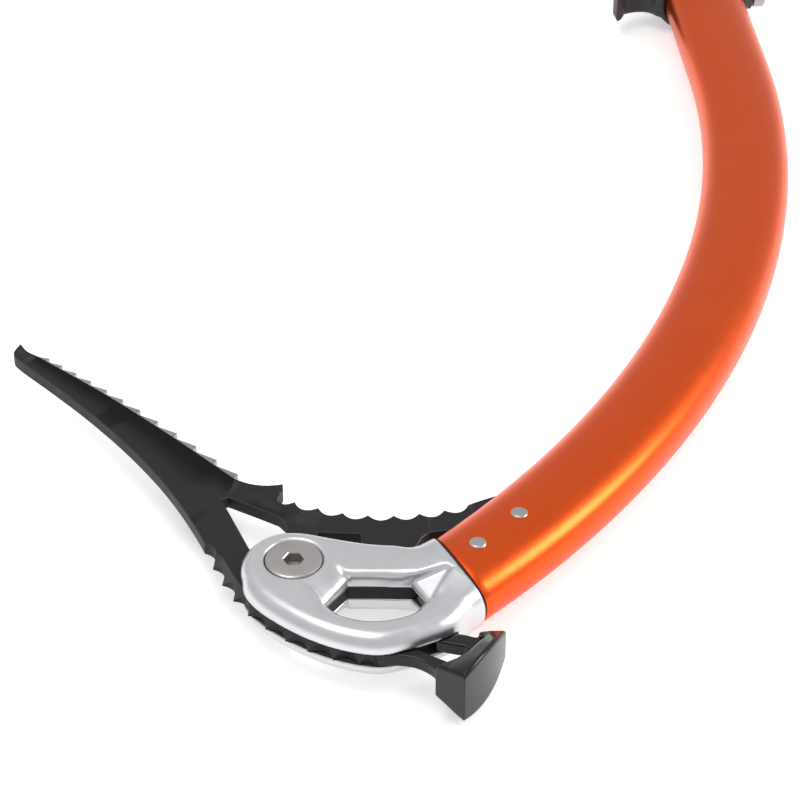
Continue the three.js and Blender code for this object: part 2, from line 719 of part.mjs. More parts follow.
addPiece(axe, 'head_forging', headForging(), 'forged');
addPiece(axe, 'pick', pickPlate(), 'steel');
addPiece(axe, 'hammer', hammer(), 'steel');
addPiece(axe, 'pick_bolt', pickBolt(), 'fastener');
addPiece(axe, 'pick_bolt_nut', boltNut(), 'fastener');
addPiece(axe, 'shaft_seal', shaftSeal(), 'rubber');
addPiece(axe, 'shaft_tube', shaftTube(), 'anodised');
addPiece(axe, 'head_rivet_front', rivet(headRivetStations[0]), 'fastener');
addPiece(axe, 'head_rivet_rear', rivet(headRivetStations[1]), 'fastener');
addPiece(axe, 'grip_sleeve', gripSleeve(), 'rubber');
addPiece(axe, 'pommel', pommel(), 'rubber');
addPiece(axe, 'spike', spike(), 'steel');
addPiece(axe, 'spike_rivet', rivet(spikeRivetStation), 'fastener');
addPiece(fingerRest, 'finger_rest_band', restBand(), 'steel');
addPiece(fingerRest, 'finger_rest_screw', thumbScrew(), 'fastener');
addPiece(fingerRest, 'finger_rest_shoe', clampShoe(), 'rubber');
axe.add(fingerRest);

const box = new THREE.Box3().setFromObject(axe);
const group = new THREE.Group();
axe.position.set(-(box.min.x + box.max.x) / 2, -(box.min.y + box.max.y) / 2, -box.min.z);
group.add(axe);

export default group;
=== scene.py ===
"""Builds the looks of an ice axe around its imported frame, as a Blender add-on.

The axe lies on its side: +Z is up, across the blade, and +Y runs towards the spike.
Pieces are drawn in millimetres round the middle of the head's round nose, at the height of
the blade's middle plane, and are moved to the axe's frame, in metres, when they are made.
"""

import math

import bmesh
import bpy
import numpy as np
import openvdb
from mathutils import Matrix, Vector
from mathutils.geometry import delaunay_2d_cdt


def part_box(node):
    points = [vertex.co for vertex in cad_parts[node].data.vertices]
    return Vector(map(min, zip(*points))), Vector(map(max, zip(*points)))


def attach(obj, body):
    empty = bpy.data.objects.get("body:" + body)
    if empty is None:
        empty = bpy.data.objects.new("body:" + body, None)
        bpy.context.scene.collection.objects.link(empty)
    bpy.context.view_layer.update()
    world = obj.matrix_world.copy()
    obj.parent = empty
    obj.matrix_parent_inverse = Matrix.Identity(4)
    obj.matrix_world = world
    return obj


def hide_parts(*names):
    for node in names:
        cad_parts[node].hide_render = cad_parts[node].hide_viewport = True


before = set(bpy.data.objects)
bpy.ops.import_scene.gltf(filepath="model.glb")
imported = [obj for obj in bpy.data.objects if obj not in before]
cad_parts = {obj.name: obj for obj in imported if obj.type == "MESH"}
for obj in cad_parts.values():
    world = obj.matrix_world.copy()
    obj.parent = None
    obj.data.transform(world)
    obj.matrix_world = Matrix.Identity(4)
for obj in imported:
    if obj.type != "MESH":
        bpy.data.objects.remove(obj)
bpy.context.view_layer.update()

bl_info = {
    "name": "Ice Axe",
    "version": (1, 0, 0),
    "blender": (4, 5, 0),
    "location": "3D Viewport > Sidebar > Ice Axe",
    "description": "Models an ice axe with a bent shaft, a forged head, a pick and a hammer",
    "category": "Add Mesh",
}

AXE = "axe"
FINGER_REST = "finger_rest"


# ---- settings


def length(label, default, description):
    """A size, in millimetres unless its label is a heading or a power."""
    return bpy.props.FloatProperty(name=label, default=default, description=description)


def colour(label, default, description):
    return bpy.props.FloatVectorProperty(
        name=label, subtype="COLOR", size=3, min=0, max=1, default=default,
        description=description)


class IceAxeSizes(bpy.types.PropertyGroup):
    """Driving sizes, in millimetres and degrees."""

    fit_gap: length("Fit gap", 0.3, "Between curved neighbours")
    shaft_width: length("Shaft width", 28.5, "In the plane of the blade")
    shaft_thickness: length("Shaft thickness", 18.1, "Across the blade")
    shaft_wall: length("Shaft wall", 1.6, "Thickness of the tube's wall")
    oval_power: length("Oval power", 2.4, "2 is an ellipse, more is squarer")
    inner_bend_radius: length("Bend radius", 334.2, "Of the shaft's edge that faces the pick")
    collar_heading: length("Collar heading", 45.3, "Degrees from +X, where it leaves the head")
    grip_heading: length("Grip heading", 95.0, "Degrees from +X along the straight grip")
    straight_length: length("Straight length", 175.0, "From the bend to the end of the tube")
    head_thickness: length("Head thickness", 14.1, "Over both cheeks")
    nose_radius: length("Nose radius", 14.5, "Of the head round the bolt")
    plate_thickness: length("Plate thickness", 4.0, "Of the pick and the hammer's arm")
    seal_width: length("Seal width", 0.75, "Of the black line between head and tube")
    bolt_diameter: length("Bolt head", 16.0, "Diameter of the pick bolt's head")
    socket_width: length("Socket", 5.0, "Across the flats of the bolt's hexagon socket")
    nut_diameter: length("Nut", 14.0, "Diameter of the low nut on the far side")
    rivet_diameter: length("Rivet head", 4.8, "Diameter of a rivet's head")
    grip_length: length("Grip length", 84.0, "Of the rubber sleeve")
    grip_wall: length("Grip wall", 2.2, "Thickness of the rubber sleeve")
    pommel_length: length("Pommel length", 13.0, "Of the little finger's stop")
    bare_end: length("Bare end", 13.0, "Tube left bare between pommel and spike")
    spike_length: length("Spike length", 40.0, "From the end of the tube to the point")
    spike_blade: length("Spike blade", 5.0, "Thickness of the spike's flat")
    rest_length: length("Finger rest length", 13.0, "Of the sliding finger rest along the shaft")
    rest_wall: length("Finger rest wall", 2.0, "Thickness of its band")


class IceAxeColours(bpy.types.PropertyGroup):
    """Base colours of the materials, in linear light."""

    aluminium: colour("Aluminium", (0.68, 0.675, 0.69), "Satin forged head")
    orange: colour("Orange", (0.765, 0.098, 0.015), "Anodised shaft")
    black_steel: colour("Black steel", (0.009, 0.0095, 0.0105), "Coated pick and hammer")
    bare_steel: colour("Bare steel", (0.33, 0.33, 0.335), "Filed tooth facets, and the spike")
    bolt_steel: colour("Bolt steel", (0.46, 0.43, 0.42), "Bolt, nut, screw and rivets")
    rubber: colour("Rubber", (0.016, 0.016, 0.017), "Grip sleeve and seal")
    plastic: colour("Plastic", (0.022, 0.022, 0.024), "Pommel and finger rest")


# ---- lines and outlines


def smooth_step(low, high, value):
    share = np.clip((value - low) / (high - low), 0, 1)
    return share * share * (3 - 2 * share)


def spline(points, steps):
    """Points on an even curve through all of these, without the first."""
    points = np.asarray(points, float)
    padded = np.vstack([points[:1], points, points[-1:]])
    found = []
    for i in range(len(points) - 1):
        before, start, end, after = padded[i : i + 4]
        leave, arrive = (end - before) / 2, (after - start) / 2
        for t in np.arange(1, steps + 1) / steps:
            found.append(
                (2 * start - 2 * end + leave + arrive) * t**3
                + (3 * end - 3 * start - 2 * leave - arrive) * t**2
                + leave * t
                + start
            )
    return found


class Outline:
    """A closed outline in the plane of the blade, drawn step by step."""

    def __init__(self, start):
        self.points = [np.asarray(start, float)]

    def line(self, *points):
        self.points += [np.asarray(p, float) for p in points]
        return self

    def curve(self, *points, steps=8):
        self.points += spline([self.points[-1], *points], steps)
        return self

    def bend(self, control, end, steps=10):
        start, control, end = self.points[-1], np.asarray(control), np.asarray(end)
        for t in np.arange(1, steps + 1) / steps:
            self.points.append((1 - t) ** 2 * start + 2 * t * (1 - t) * control + t * t * end)
        return self

    def arc(self, radius, start, end, steps=24):
        for angle in np.radians(np.linspace(start, end, steps)):
            self.points.append(radius * np.array([math.cos(angle), math.sin(angle)]))
        return self

    def loop(self, clockwise=False):
        points = np.array(self.points)
        gaps = np.linalg.norm(points - np.roll(points, 1, axis=0), axis=1)
        points = points[gaps > 0.01]
        x, y = points.T
        area = np.sum(x * np.roll(y, -1) - y * np.roll(x, -1)) / 2
        return points[::-1] if (area < 0) != clockwise else points


def inside_distance(loop, x, y):
    """Distance of each point from an outline: positive inside, negative outside."""
    nearest = np.full(x.shape, 1e9)
    inside = np.zeros(x.shape, bool)
    for (ax, ay), (bx, by) in zip(loop, np.roll(loop, -1, axis=0)):
        ex, ey = bx - ax, by - ay
        share = np.clip(((x - ax) * ex + (y - ay) * ey) / (ex * ex + ey * ey), 0, 1)
        nearest = np.minimum(nearest, np.hypot(x - ax - share * ex, y - ay - share * ey))
        if ay != by:
            inside ^= ((ay > y) != (by > y)) & (x < ax + (y - ay) * ex / ey)
    return np.where(inside, nearest, -nearest)


class ShaftLine:
    """The shaft's centreline: one arc, then straight."""

    collar_corner = np.array([36.0, 11.0])

    def __init__(self, sizes):
        self.sizes = sizes
        self.start = math.radians(sizes.collar_heading)
        self.radius = sizes.inner_bend_radius + sizes.shaft_width / 2
        self.bent = self.radius * (math.radians(sizes.grip_heading) - self.start)
        self.end = self.bent + sizes.straight_length
        towards_pick = np.array([-math.sin(self.start), math.cos(self.start)])
        self.centre = self.collar_corner + sizes.inner_bend_radius * towards_pick
        self.pommel_end = self.end - sizes.bare_end
        self.grip_end = self.pommel_end - sizes.pommel_length
        self.grip_start = self.grip_end - sizes.grip_length
        self.rest_end = self.grip_start - 2
        self.rest_start = self.rest_end - sizes.rest_length

    def at(self, station):
        """Origin, direction along the shaft, and direction towards the pick."""
        station = np.asarray(station, float)
        turned = np.clip(station, 0, self.bent)
        heading = self.start + turned / self.radius
        along = np.stack([np.cos(heading), np.sin(heading)], axis=-1)
        pick = np.stack([-np.sin(heading), np.cos(heading)], axis=-1)
        origin = self.centre - self.radius * pick + (station - turned)[..., None] * along
        return origin, along, pick

    def beside(self, station, offset):
        origin, _, pick = self.at(station)
        return origin + np.asarray(offset, float)[..., None] * pick

    def place(self, points, station):
        """Points as (towards the pick, towards the head, up), moved to a station."""
        origin, along, pick = self.at(station)
        flat = origin + points[:, :1] * pick - points[:, 1:2] * along
        return np.column_stack([flat, points[:, 2]])

    def across(self, x, y):
        """Place along and beside the line that the shaft starts on."""
        origin, along, pick = self.at(0.0)
        rx, ry = x - origin[0], y - origin[1]
        return rx * along[0] + ry * along[1], rx * pick[0] + ry * pick[1]

    def seam(self, beside, height):
        """Where head and tube meet: a shallow mouth that leans forward on the pick side."""
        return -1.2 + 0.31 * beside - 0.025 * height * height


# ---- skins


RING_POINTS = 96    # round an oval


class Skin:
    """Points and faces of one piece. Each face has the number of its finish."""

    def __init__(self):
        self.points = []
        self.faces = []
        self.finishes = []
        self.count = 0

    def add(self, points, faces, finish=0):
        self.points.append(np.asarray(points, float))
        self.faces += [tuple(int(i) + self.count for i in face) for face in faces]
        self.finishes += [finish] * len(faces)
        self.count += len(points)
        return self


def oval_ring(width, thickness, power):
    angle = np.linspace(0, 2 * math.pi, RING_POINTS, endpoint=False)
    beside, height = np.cos(angle), np.sin(angle)
    return (
        width / 2 * np.sign(beside) * np.abs(beside) ** (2 / power),
        thickness / 2 * np.sign(height) * np.abs(height) ** (2 / power),
    )


def bridge(rings, capped=True):
    """Points and faces of a skin over rings that have the same number of points."""
    count = len(rings[0])
    faces = []
    for ring in range(len(rings) - 1):
        for i in range(count):
            a, b = ring * count + i, ring * count + (i + 1) % count
            faces.append((a, b, b + count, a + count))
    if capped:
        faces.append(tuple(range(count - 1, -1, -1)))
        faces.append(tuple(range((len(rings) - 1) * count, len(rings) * count)))
    return np.vstack(rings), faces


def shaft_skin(shaft, sections):
    """A skin of ovals along the shaft. Each section is (station, growth on the tube's oval).
    A station is one number, or one for each point of the ring."""
    sizes = shaft.sizes
    rings = []
    for station, growth in sections:
        beside, height = oval_ring(
            sizes.shaft_width + 2 * growth,
            sizes.shaft_thickness + 2 * growth,
            sizes.oval_power,
        )
        stations = np.broadcast_to(station, beside.shape)
        rings.append(np.column_stack([shaft.beside(stations, beside), height]))
    return bridge(rings)


def turned_skin(profile, count, place=(0, 0)):
    """A skin turned round an upright axis. Each profile point is (radius, height); a radius
    may be a function of the angle. It runs from the top middle outwards and down."""
    angle = np.linspace(0, 2 * math.pi, count, endpoint=False)
    rings = []
    for radius, height in profile:
        reach = radius(angle) if callable(radius) else np.full(count, max(radius, 1e-4))
        level = np.full(count, height)
        rings.append(np.column_stack([reach * np.cos(angle), reach * np.sin(angle), level]))
    points, faces = bridge(rings)
    return points + (*place, 0), [face[::-1] for face in faces]


def inset(loop, distance):
    """The outline moved to its left by a distance, with mitred corners."""
    before = loop - np.roll(loop, 1, axis=0)
    after = np.roll(loop, -1, axis=0) - loop
    before /= np.linalg.norm(before, axis=1)[:, None]
    after /= np.linalg.norm(after, axis=1)[:, None]
    left = np.column_stack([-(before + after)[:, 1], (before + after)[:, 0]])
    left /= np.maximum(np.linalg.norm(left, axis=1), 1e-6)[:, None]
    side = np.column_stack([-after[:, 1], after[:, 0]])
    stretch = np.maximum(np.sum(left * side, axis=1), 0.5)
    return loop + left * (distance / stretch)[:, None]


def plate_skin(skin, outer, holes, half, chamfer, edge_finish):
    """A flat plate with chamfered edges. The outline turns left and its holes turn right."""
    loops = [outer, *holes]
    faces_at = [inset(loop, chamfer) for loop in loops]
    flat = np.vstack(faces_at)
    edges = []
    start = 0
    for loop in loops:
        edges += [(start + i, start + (i + 1) % len(loop)) for i in range(len(loop))]
        start += len(loop)
    found = delaunay_2d_cdt([Vector(p) for p in flat], edges, [], 1, 1e-5)
    corners = np.array([tuple(v) for v in found[0]])
    triangles = np.array(found[2])
    middle = corners[triangles].mean(axis=1)
    solid = inside_distance(faces_at[0], middle[:, 0], middle[:, 1]) > 0
    for hole in faces_at[1:]:
        solid &= inside_distance(hole, middle[:, 0], middle[:, 1]) < 0
    for side in (1, -1):
        points = np.column_stack([corners, np.full(len(corners), side * half)])
        skin.add(points, [tri[::side] for tri in triangles[solid]])
    for loop, inner in zip(loops, faces_at):
        levels = [(inner, half), (loop, half - chamfer), (loop, chamfer - half), (inner, -half)]
        rings = [np.column_stack([line, np.full(len(line), height)]) for line, height in levels]
        for upper, lower, finish in zip(rings, rings[1:], (edge_finish, 0, edge_finish)):
            points, faces = bridge([upper, lower], capped=False)
            skin.add(points, [face[::-1] for face in faces], finish)


# ---- solids from distances


def rolled_corner(a, b, radius):
    """What is inside both of two distances, with the corner between them rolled."""
    a, b = a + radius, b + radius
    return np.minimum(np.maximum(a, b), 0) + np.hypot(np.maximum(a, 0), np.maximum(b, 0)) - radius


def slab(inside, height, half, radius):
    """Distance from an upright slab with rolled edges: negative inside it."""
    return rolled_corner(-inside, np.abs(height) - half, radius)


def oval_distance(beside, height, half_width, half_thickness, power):
    reach = (np.abs(beside) / half_width) ** power + (np.abs(height) / half_thickness) ** power
    return (reach ** (1 / power) - 1) * np.minimum(half_width, half_thickness)


def join(a, b, blend):
    """Both solids, with a fillet where they meet."""
    share = np.clip(0.5 + 0.5 * (b - a) / blend, 0, 1)
    return b + (a - b) * share - blend * share * (1 - share)


def cut(a, b, blend):
    """The first solid without the second, with a rounded rim."""
    return -join(-a, b, blend)


def scoop_floor(x, y, point, uphill, slope):
    """Height of a plane through a point that climbs in one direction."""
    return point[2] + slope * ((x - point[0]) * uphill[0] + (y - point[1]) * uphill[1])


def field_skin(make_field, low, high, step):
    """Skin of the solid where a field is negative. make_field(x, y) gives the field at a height."""
    axes = [np.arange(start, end + step, step) for start, end in zip(low, high)]
    x, y = np.meshgrid(axes[0], axes[1], indexing="ij")
    field = make_field(x, y)
    limit = 4 * step
    values = np.stack([np.clip(field(z), -limit, limit) for z in axes[2]], axis=-1)
    grid = openvdb.FloatGrid(limit)
    grid.copyFromArray(values.astype(np.float32))
    points, quads = grid.convertToQuads(isovalue=0.0)
    points = points.astype(float) * step + np.array(low)
    a, b, c = (points[quads[:, i]] for i in range(3))
    if np.sum(np.cross(a, b) * c) < 0:
        quads = quads[:, ::-1]
    return points, quads


# ---- making objects

MILLIMETRE = 0.001
SAME_POINT = 1e-8    # metres between two corners that are one
BOLT_RISE = 1.3    # the bolt's axis, along Y from the middle of the round nose
BOLT_BORE = 4.3    # radius of the bore through the cheeks and the blade
bolt_low, bolt_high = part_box("pick_bolt")
blade_low, blade_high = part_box("pick")
NOSE = np.array([
    (bolt_low.x + bolt_high.x) / 2,
    (bolt_low.y + bolt_high.y) / 2 - BOLT_RISE * MILLIMETRE,
    (blade_low.z + blade_high.z) / 2,
])


def add_object(name, data):
    item = bpy.data.objects.new(name, data)
    bpy.context.scene.collection.objects.link(item)
    return item


def mesh_of(name, skin):
    """The mesh of a skin, in the axe's frame."""
    points = np.vstack(skin.points) * MILLIMETRE + NOSE
    mesh = bpy.data.meshes.new(name)
    mesh.from_pydata(points.tolist(), [], skin.faces)
    return mesh


def make(name, skin, materials, body, nodes, smooth_to=32):
    """Makes the object of a skin with its materials, parents it to its body and hides its CAD
    nodes.
    """
    mesh = mesh_of(name, skin)
    for material in materials:
        mesh.materials.append(material)
    mesh.polygons.foreach_set("material_index", skin.finishes)
    whole = bmesh.new()
    whole.from_mesh(mesh)
    bmesh.ops.remove_doubles(whole, verts=whole.verts, dist=SAME_POINT)
    whole.to_mesh(mesh)
    whole.free()
    mesh.shade_smooth()
    mesh.set_sharp_from_angle(angle=math.radians(smooth_to))
    if mesh.validate():
        raise RuntimeError(f"{name}: the skin had faces that are no faces")
    piece = add_object(name, mesh)
    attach(piece, body)
    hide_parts(*nodes)
    return piece


# ---- materials


def fill(node, inputs):
    """Sets a node's own numbers and colours."""
    for name, value in inputs.items():
        node.inputs[name].default_value = value


class Nodes:
    """A material's node tree, with short ways to add and join its nodes."""

    def __init__(self, name):
        self.material = bpy.data.materials.new(name)
        self.material.use_nodes = True
        self.tree = self.material.node_tree
        self.shader = self.tree.nodes["Principled BSDF"]
        self.place = self.add("ShaderNodeTexCoord").outputs["Object"]

    def add(self, kind, **values):
        node = self.tree.nodes.new(kind)
        for key, value in values.items():
            if hasattr(node, key):
                setattr(node, key, value)
            else:
                node.inputs[key.replace("_", " ").title()].default_value = value
        return node

    def join(self, source, target):
        self.tree.links.new(source, target)

    def mapped(self, **inputs):
        """The object's own coordinates, moved or stretched."""
        mapping = self.add("ShaderNodeMapping")
        fill(mapping, inputs)
        self.join(self.place, mapping.inputs["Vector"])
        return mapping.outputs["Vector"]

    def noise(self, scale, detail, place=None):
        """Noise with about `scale` lumps to the metre."""
        node = self.add("ShaderNodeTexNoise", scale=scale, detail=detail, roughness=0.55)
        self.join(place or self.place, node.inputs["Vector"])
        return node.outputs["Fac"]

    def spread(self, source, low, high, start=0.3, end=0.7):
        """A number that runs from low to high as its source runs from start to end."""
        node = self.add("ShaderNodeMapRange")
        fill(node, {"From Min": start, "From Max": end, "To Min": low, "To Max": high})
        self.join(source, node.inputs["Value"])
        return node.outputs["Result"]

    def tint(self, source, first, second):
        """A colour that runs from the first to the second as its source runs from 0 to 1."""
        node = self.add("ShaderNodeMix", data_type="RGBA")
        fill(node, {"A": (*first, 1), "B": (*second, 1)})
        self.join(source, node.inputs["Factor"])
        return node.outputs["Result"]

    def bump(self, source, depth):
        """Relief, with its depth in metres."""
        node = self.add("ShaderNodeBump")
        fill(node, {"Distance": depth, "Strength": 1.0})
        self.join(source, node.inputs["Height"])
        self.join(node.outputs["Normal"], self.shader.inputs["Normal"])


def scaled(base, share):
    return tuple(min(1.0, channel * share) for channel in base)


# Each finish: its base colour and the share of it, how metallic, how rough and by how much that
# varies, grain in lumps to the metre and its relief in metres, the colour's worn and fresh shares,
# and the shader's own inputs.
FINISHES = {
    "forged_aluminium": ("aluminium", 1, 1.0, (0.34, 0.04), (2600, 4e-6), (0.96, 1.03), {}),
    "orange_anodised": ("orange", 1, 1.0, (0.34, 0.02), (1800, 3e-6), (0.985, 1.015),
                        {"Coat Weight": 0.07, "Coat Roughness": 0.25}),
    "black_steel": ("black_steel", 1, 0.0, (0.5, 0.06), (3200, 6e-6), (0.94, 1.07),
                    {"Specular IOR Level": 0.3}),
    "black_steel_hammer": ("black_steel", 0.65, 0.0, (0.2, 0.04), (1500, 2e-6), (0.85, 1.15),
                           {"Specular IOR Level": 0.38}),
    "black_steel_edge": ("black_steel", 5, 0.3, (0.42, 0.06), (3200, 1e-5), (0.9, 1.08), {}),
    "bare_steel": ("bare_steel", 1, 0.9, (0.36, 0.06), None, (0.85, 1.1), {}),
    "bolt_steel": ("bolt_steel", 1, 0.95, (0.34, 0.05), None, (0.93, 1.05), {}),
    "black_rubber": ("rubber", 1, 0.0, (0.72, 0.06), (3500, 5e-5), (0.8, 1.3),
                     {"Sheen Weight": 0.1}),
    "black_plastic": ("plastic", 1, 0.0, (0.48, 0.06), (2500, 3e-5), (0.85, 1.15), {}),
}
PATCHES = 60    # lumps to the metre in which the colour varies
GLOSS_PATCHES = 240


def surface(finish, colours, name=None):
    """The node tree of a finish, with its colour and gloss a little uneven."""
    base, share, metallic, (roughness, spread), grain, wear, inputs = FINISHES[finish]
    nodes = Nodes(name or finish)
    shader = nodes.shader
    fill(shader, {"Metallic": metallic, **inputs})
    colour_base = scaled(getattr(colours, base), share)
    patches = nodes.spread(nodes.noise(PATCHES, 5), 0, 1)
    worn, fresh = (scaled(colour_base, part) for part in wear)
    nodes.join(nodes.tint(patches, worn, fresh), shader.inputs["Base Color"])
    gloss = nodes.spread(nodes.noise(GLOSS_PATCHES, 4), roughness - spread, roughness + spread)
    nodes.join(gloss, shader.inputs["Roughness"])
    if grain:
        nodes.bump(nodes.noise(grain[0], 2), grain[1])
    return nodes


def plain_material(finish, colours):
    return surface(finish, colours).material


def bare_steel_material(colours):
    """Ground steel, with fine grinding lines."""
    nodes = surface("bare_steel", colours)
    lines = nodes.noise(1, 2, place=nodes.mapped(Scale=(400, 6000, 400)))
    nodes.bump(lines, 1.4e-5)
    return nodes.material


def bolt_steel_material(colours, name):
    """Turned steel, with fine rings round the bolt's axis."""
    nodes = surface("bolt_steel", colours, name)
    bolt_axis = NOSE + np.array([0, BOLT_RISE * MILLIMETRE, 0])
    rings = nodes.add("ShaderNodeTexWave", wave_type="RINGS", rings_direction="Z")
    fill(rings, {"Scale": 700, "Distortion": 0.6})
    nodes.join(nodes.mapped(Location=tuple(-bolt_axis)), rings.inputs["Vector"])
    nodes.bump(rings.outputs["Fac"], 6e-6)
    return nodes.material


# ---- the head


def window_line():
    """The carabiner window's outline: straight on the shaft side, round below."""
    line = Outline([32.2, -5.3])
    line.line([15.2, -5.3], [8.9, -14.4])
    line.curve([14.2, -19.8], [22.8, -21.7], [31.6, -19.1], [36.9, -13.2])
    return line


def head_line(sizes, shaft):
    """The head's outline: a nose round the bolt, a beam under the window, and an end that
    runs past the seam, where it is trimmed."""
    half = sizes.shaft_width / 2
    nose = sizes.nose_radius
    nose_start, nose_end = 100, 196
    start = math.radians(nose_start)
    top = nose * np.array([math.cos(start), math.sin(start)])
    line = Outline(shaft.beside(10, 0.86 * half))
    line.curve([34.6, 10.0], [28.5, 8.9], [20.9, 9.4], [12.0, 11.4], top + [5.5, -0.4], top)
    line.arc(nose, nose_start, nose_end)
    line.curve([-13.1, -9.0], [-9.6, -14.6], [-3.1, -20.9], [5.1, -26.8],
               [14, -31.0], [23.5, -32.9], [32, -30.6], [40.5, -26.6])
    line.bend([46.5, -23], shaft.beside(-10, -0.96 * half))
    line.line(shaft.beside(10, -0.86 * half), shaft.beside(20, -0.86 * half))
    line.line(shaft.beside(20, 0.86 * half))
    return line


def head_field(sizes, shaft):
    """Two rolled cheeks that swell into an oval collar, slotted for the blades."""
    outline = head_line(sizes, shaft).loop()
    window = window_line().loop()
    slot = np.array([
        [33, 10], [31, 60], [-60, 60], [-60, -60], [64.5, -60], [64.5, -23], [44, -23]])
    half = sizes.head_thickness / 2
    slot_half = sizes.plate_thickness / 2 + 0.15
    seat_depth, seat_gap = 2.85, 0.12
    collar_length, collar_blend = 20, 2.6
    collar_stations = (-20.0, -12.4, -5.6, 0.0)
    collar_widths = np.array([0.74, 0.9, 0.985, 1.0]) * sizes.shaft_width / 2
    collar_heights = np.array([0.52, 0.76, 0.945, 1.0]) * sizes.shaft_thickness / 2

    def make_field(x, y):
        in_outline = inside_distance(outline, x, y)
        in_window = inside_distance(window, x, y)
        in_slot = inside_distance(slot, x, y)
        inside = np.minimum(in_outline, -in_window)
        rolled = 4.7 - 1.5 * smooth_step(-10, 0, y)
        rolled -= 1.1 * smooth_step(8, 12, x) * smooth_step(-12, -7, y) * smooth_step(0, -4, y)
        rolled += 2.4 * smooth_step(26, 35, x) * smooth_step(0, 5, y)
        right_borders = [
            (y + 5.3) - 0.24 * (x - 32.2),
            0.861 * (x - 37.9) - 0.509 * (y + 12.7),
            -0.859 * (x - 32.2) - 0.511 * (y + 5.3) - 1,
            0.695 * (x - 41.3) + 0.719 * (y + 2.5),
        ]
        left_borders = [
            0.73 * (x - 15.2) + 0.684 * (y + 5.3),
            -0.754 * (x - 3.7) - 0.657 * (y + 9.2),
            0.822 * (x - 8.9) - 0.569 * (y + 14.4) - 1,
        ]
        scoops = [
            (scoop_floor(x, y, (32.2, -5.3, 4.0), (0.695, 0.719), 0.42),
             np.maximum.reduce(right_borders)),
            (scoop_floor(x, y, (3.7, -9.2, 7.05), (-0.641, 0.768), 0.47),
             np.maximum.reduce(left_borders)),
        ]
        station, beside = shaft.across(x, y)
        width = np.interp(station, collar_stations, collar_widths)
        thickness = np.interp(station, collar_stations, collar_heights)
        from_bolt = np.hypot(x, y - BOLT_RISE)

        def at_height(z):
            solid = slab(inside, z, half, rolled)
            collar = oval_distance(beside, z, width, thickness, sizes.oval_power)
            collar = np.maximum(collar, -collar_length - station)
            solid = join(solid, collar, collar_blend)
            solid = cut(solid, -in_window, 1.2)
            up = abs(z)
            for floor, border in scoops:
                solid = cut(solid, -join(-(floor - up) * 0.9, -border, 1.2), 1.4)
            solid = cut(solid, np.maximum(up - slot_half, -in_slot), 0.25)
            seat = (sizes.bolt_diameter if z > 0 else sizes.nut_diameter) / 2 + seat_gap
            pocket = np.maximum(from_bolt - seat, half - seat_depth - up)
            countersink = (from_bolt - seat - (up - half + 0.6)) * 0.7
            solid = cut(solid, np.minimum(pocket, np.maximum(countersink, half - 1 - up)), 0.35)
            solid = cut(solid, from_bolt - BOLT_BORE, 0.1)
            return np.maximum(solid, station - shaft.seam(beside, z))

        return at_height

    return make_field


def build_head(sizes, colours):
    shaft = ShaftLine(sizes)
    low, high = (-16.5, -35.0, -9.8), (52.5, 21.5, 9.8)
    skin = Skin().add(*field_skin(head_field(sizes, shaft), low, high, 0.32))
    inside = -sizes.shaft_wall - sizes.fit_gap
    skin.add(*shaft_skin(shaft, [(s, inside) for s in (-4, 4, 14, 24, 34)]))
    aluminium = plain_material("forged_aluminium", colours)
    make("head", skin, [aluminium], AXE, ["head_forging"], smooth_to=60)


# ---- pick and hammer

TOOTH_LINE = [[-77.5, 101.6], [-58.2, 85.2], [-36.7, 64.7], [-17.6, 45.1]]
NOSE_LINE = [[22.75, -32.6], [14.2, -31.0], [3.7, -26.6], [-7.4, -17.9],
             [-16.6, -6.3], [-22.8, 7.0], [-25.4, 13.8]]
NOSE_BITES, NOSE_BITE_DEPTH = 9.6, 1.91
BRANCH_LINE = [[-0.7, 32.3], [13.3, 27.4], [27.8, 26.3], [42.1, 28.7], [48.5, 31]]
BRANCH_BITES, BRANCH_BITE_DEPTH = 7, 2.26
ICE_TEETH = 12
TOOTH_PITCH, TOOTH_PITCH_GROWTH = 5.6, 0.38
TOOTH_DEPTH, TOOTH_DEPTH_GROWTH = 1.5, 0.04
FIRST_ROOT = [-81.0, 102.7]


class Track:
    """A curve walked by distance."""

    def __init__(self, points):
        self.points = np.array([np.array(points[0], float), *spline(points, 24)])
        steps = np.linalg.norm(np.diff(self.points, axis=0), axis=1)
        self.travel = np.concatenate([[0], np.cumsum(steps)])
        self.length = self.travel[-1]

    def at(self, distance):
        return np.array([np.interp(distance, self.travel, self.points[:, i]) for i in (0, 1)])


def scallops(line, points, count, depth):
    """Adds to an outline concave bites from peak to peak along a curve. With a count that is
    not whole, the first bite is cut short."""
    track = Track(points)
    for left in range(math.ceil(count), 0, -1):
        whole = min(1.0, count - left + 1)
        start = track.at(track.length * max(0.0, count - left) / count)
        end = track.at(track.length * (count - left + 1) / count)
        chord = end - start
        inward = np.array([chord[1], -chord[0]]) / np.linalg.norm(chord)
        line.bend((start + end) / 2 + 2 * depth * whole * inward, end, steps=12)


def tooth_places():
    """For each ice tooth: the root before it, its peak, and the root after it."""
    track = Track(TOOTH_LINE)
    root = np.array(FIRST_ROOT)
    travelled = 0.0
    places = []
    for tooth in range(ICE_TEETH):
        depth = TOOTH_DEPTH * (1 + TOOTH_DEPTH_GROWTH * tooth)
        peak = track.at(travelled)
        after = peak - depth * np.array([0.35, 1.0])
        places.append((root, peak, after))
        root = after
        travelled += TOOTH_PITCH + TOOTH_PITCH_GROWTH * tooth
    return places


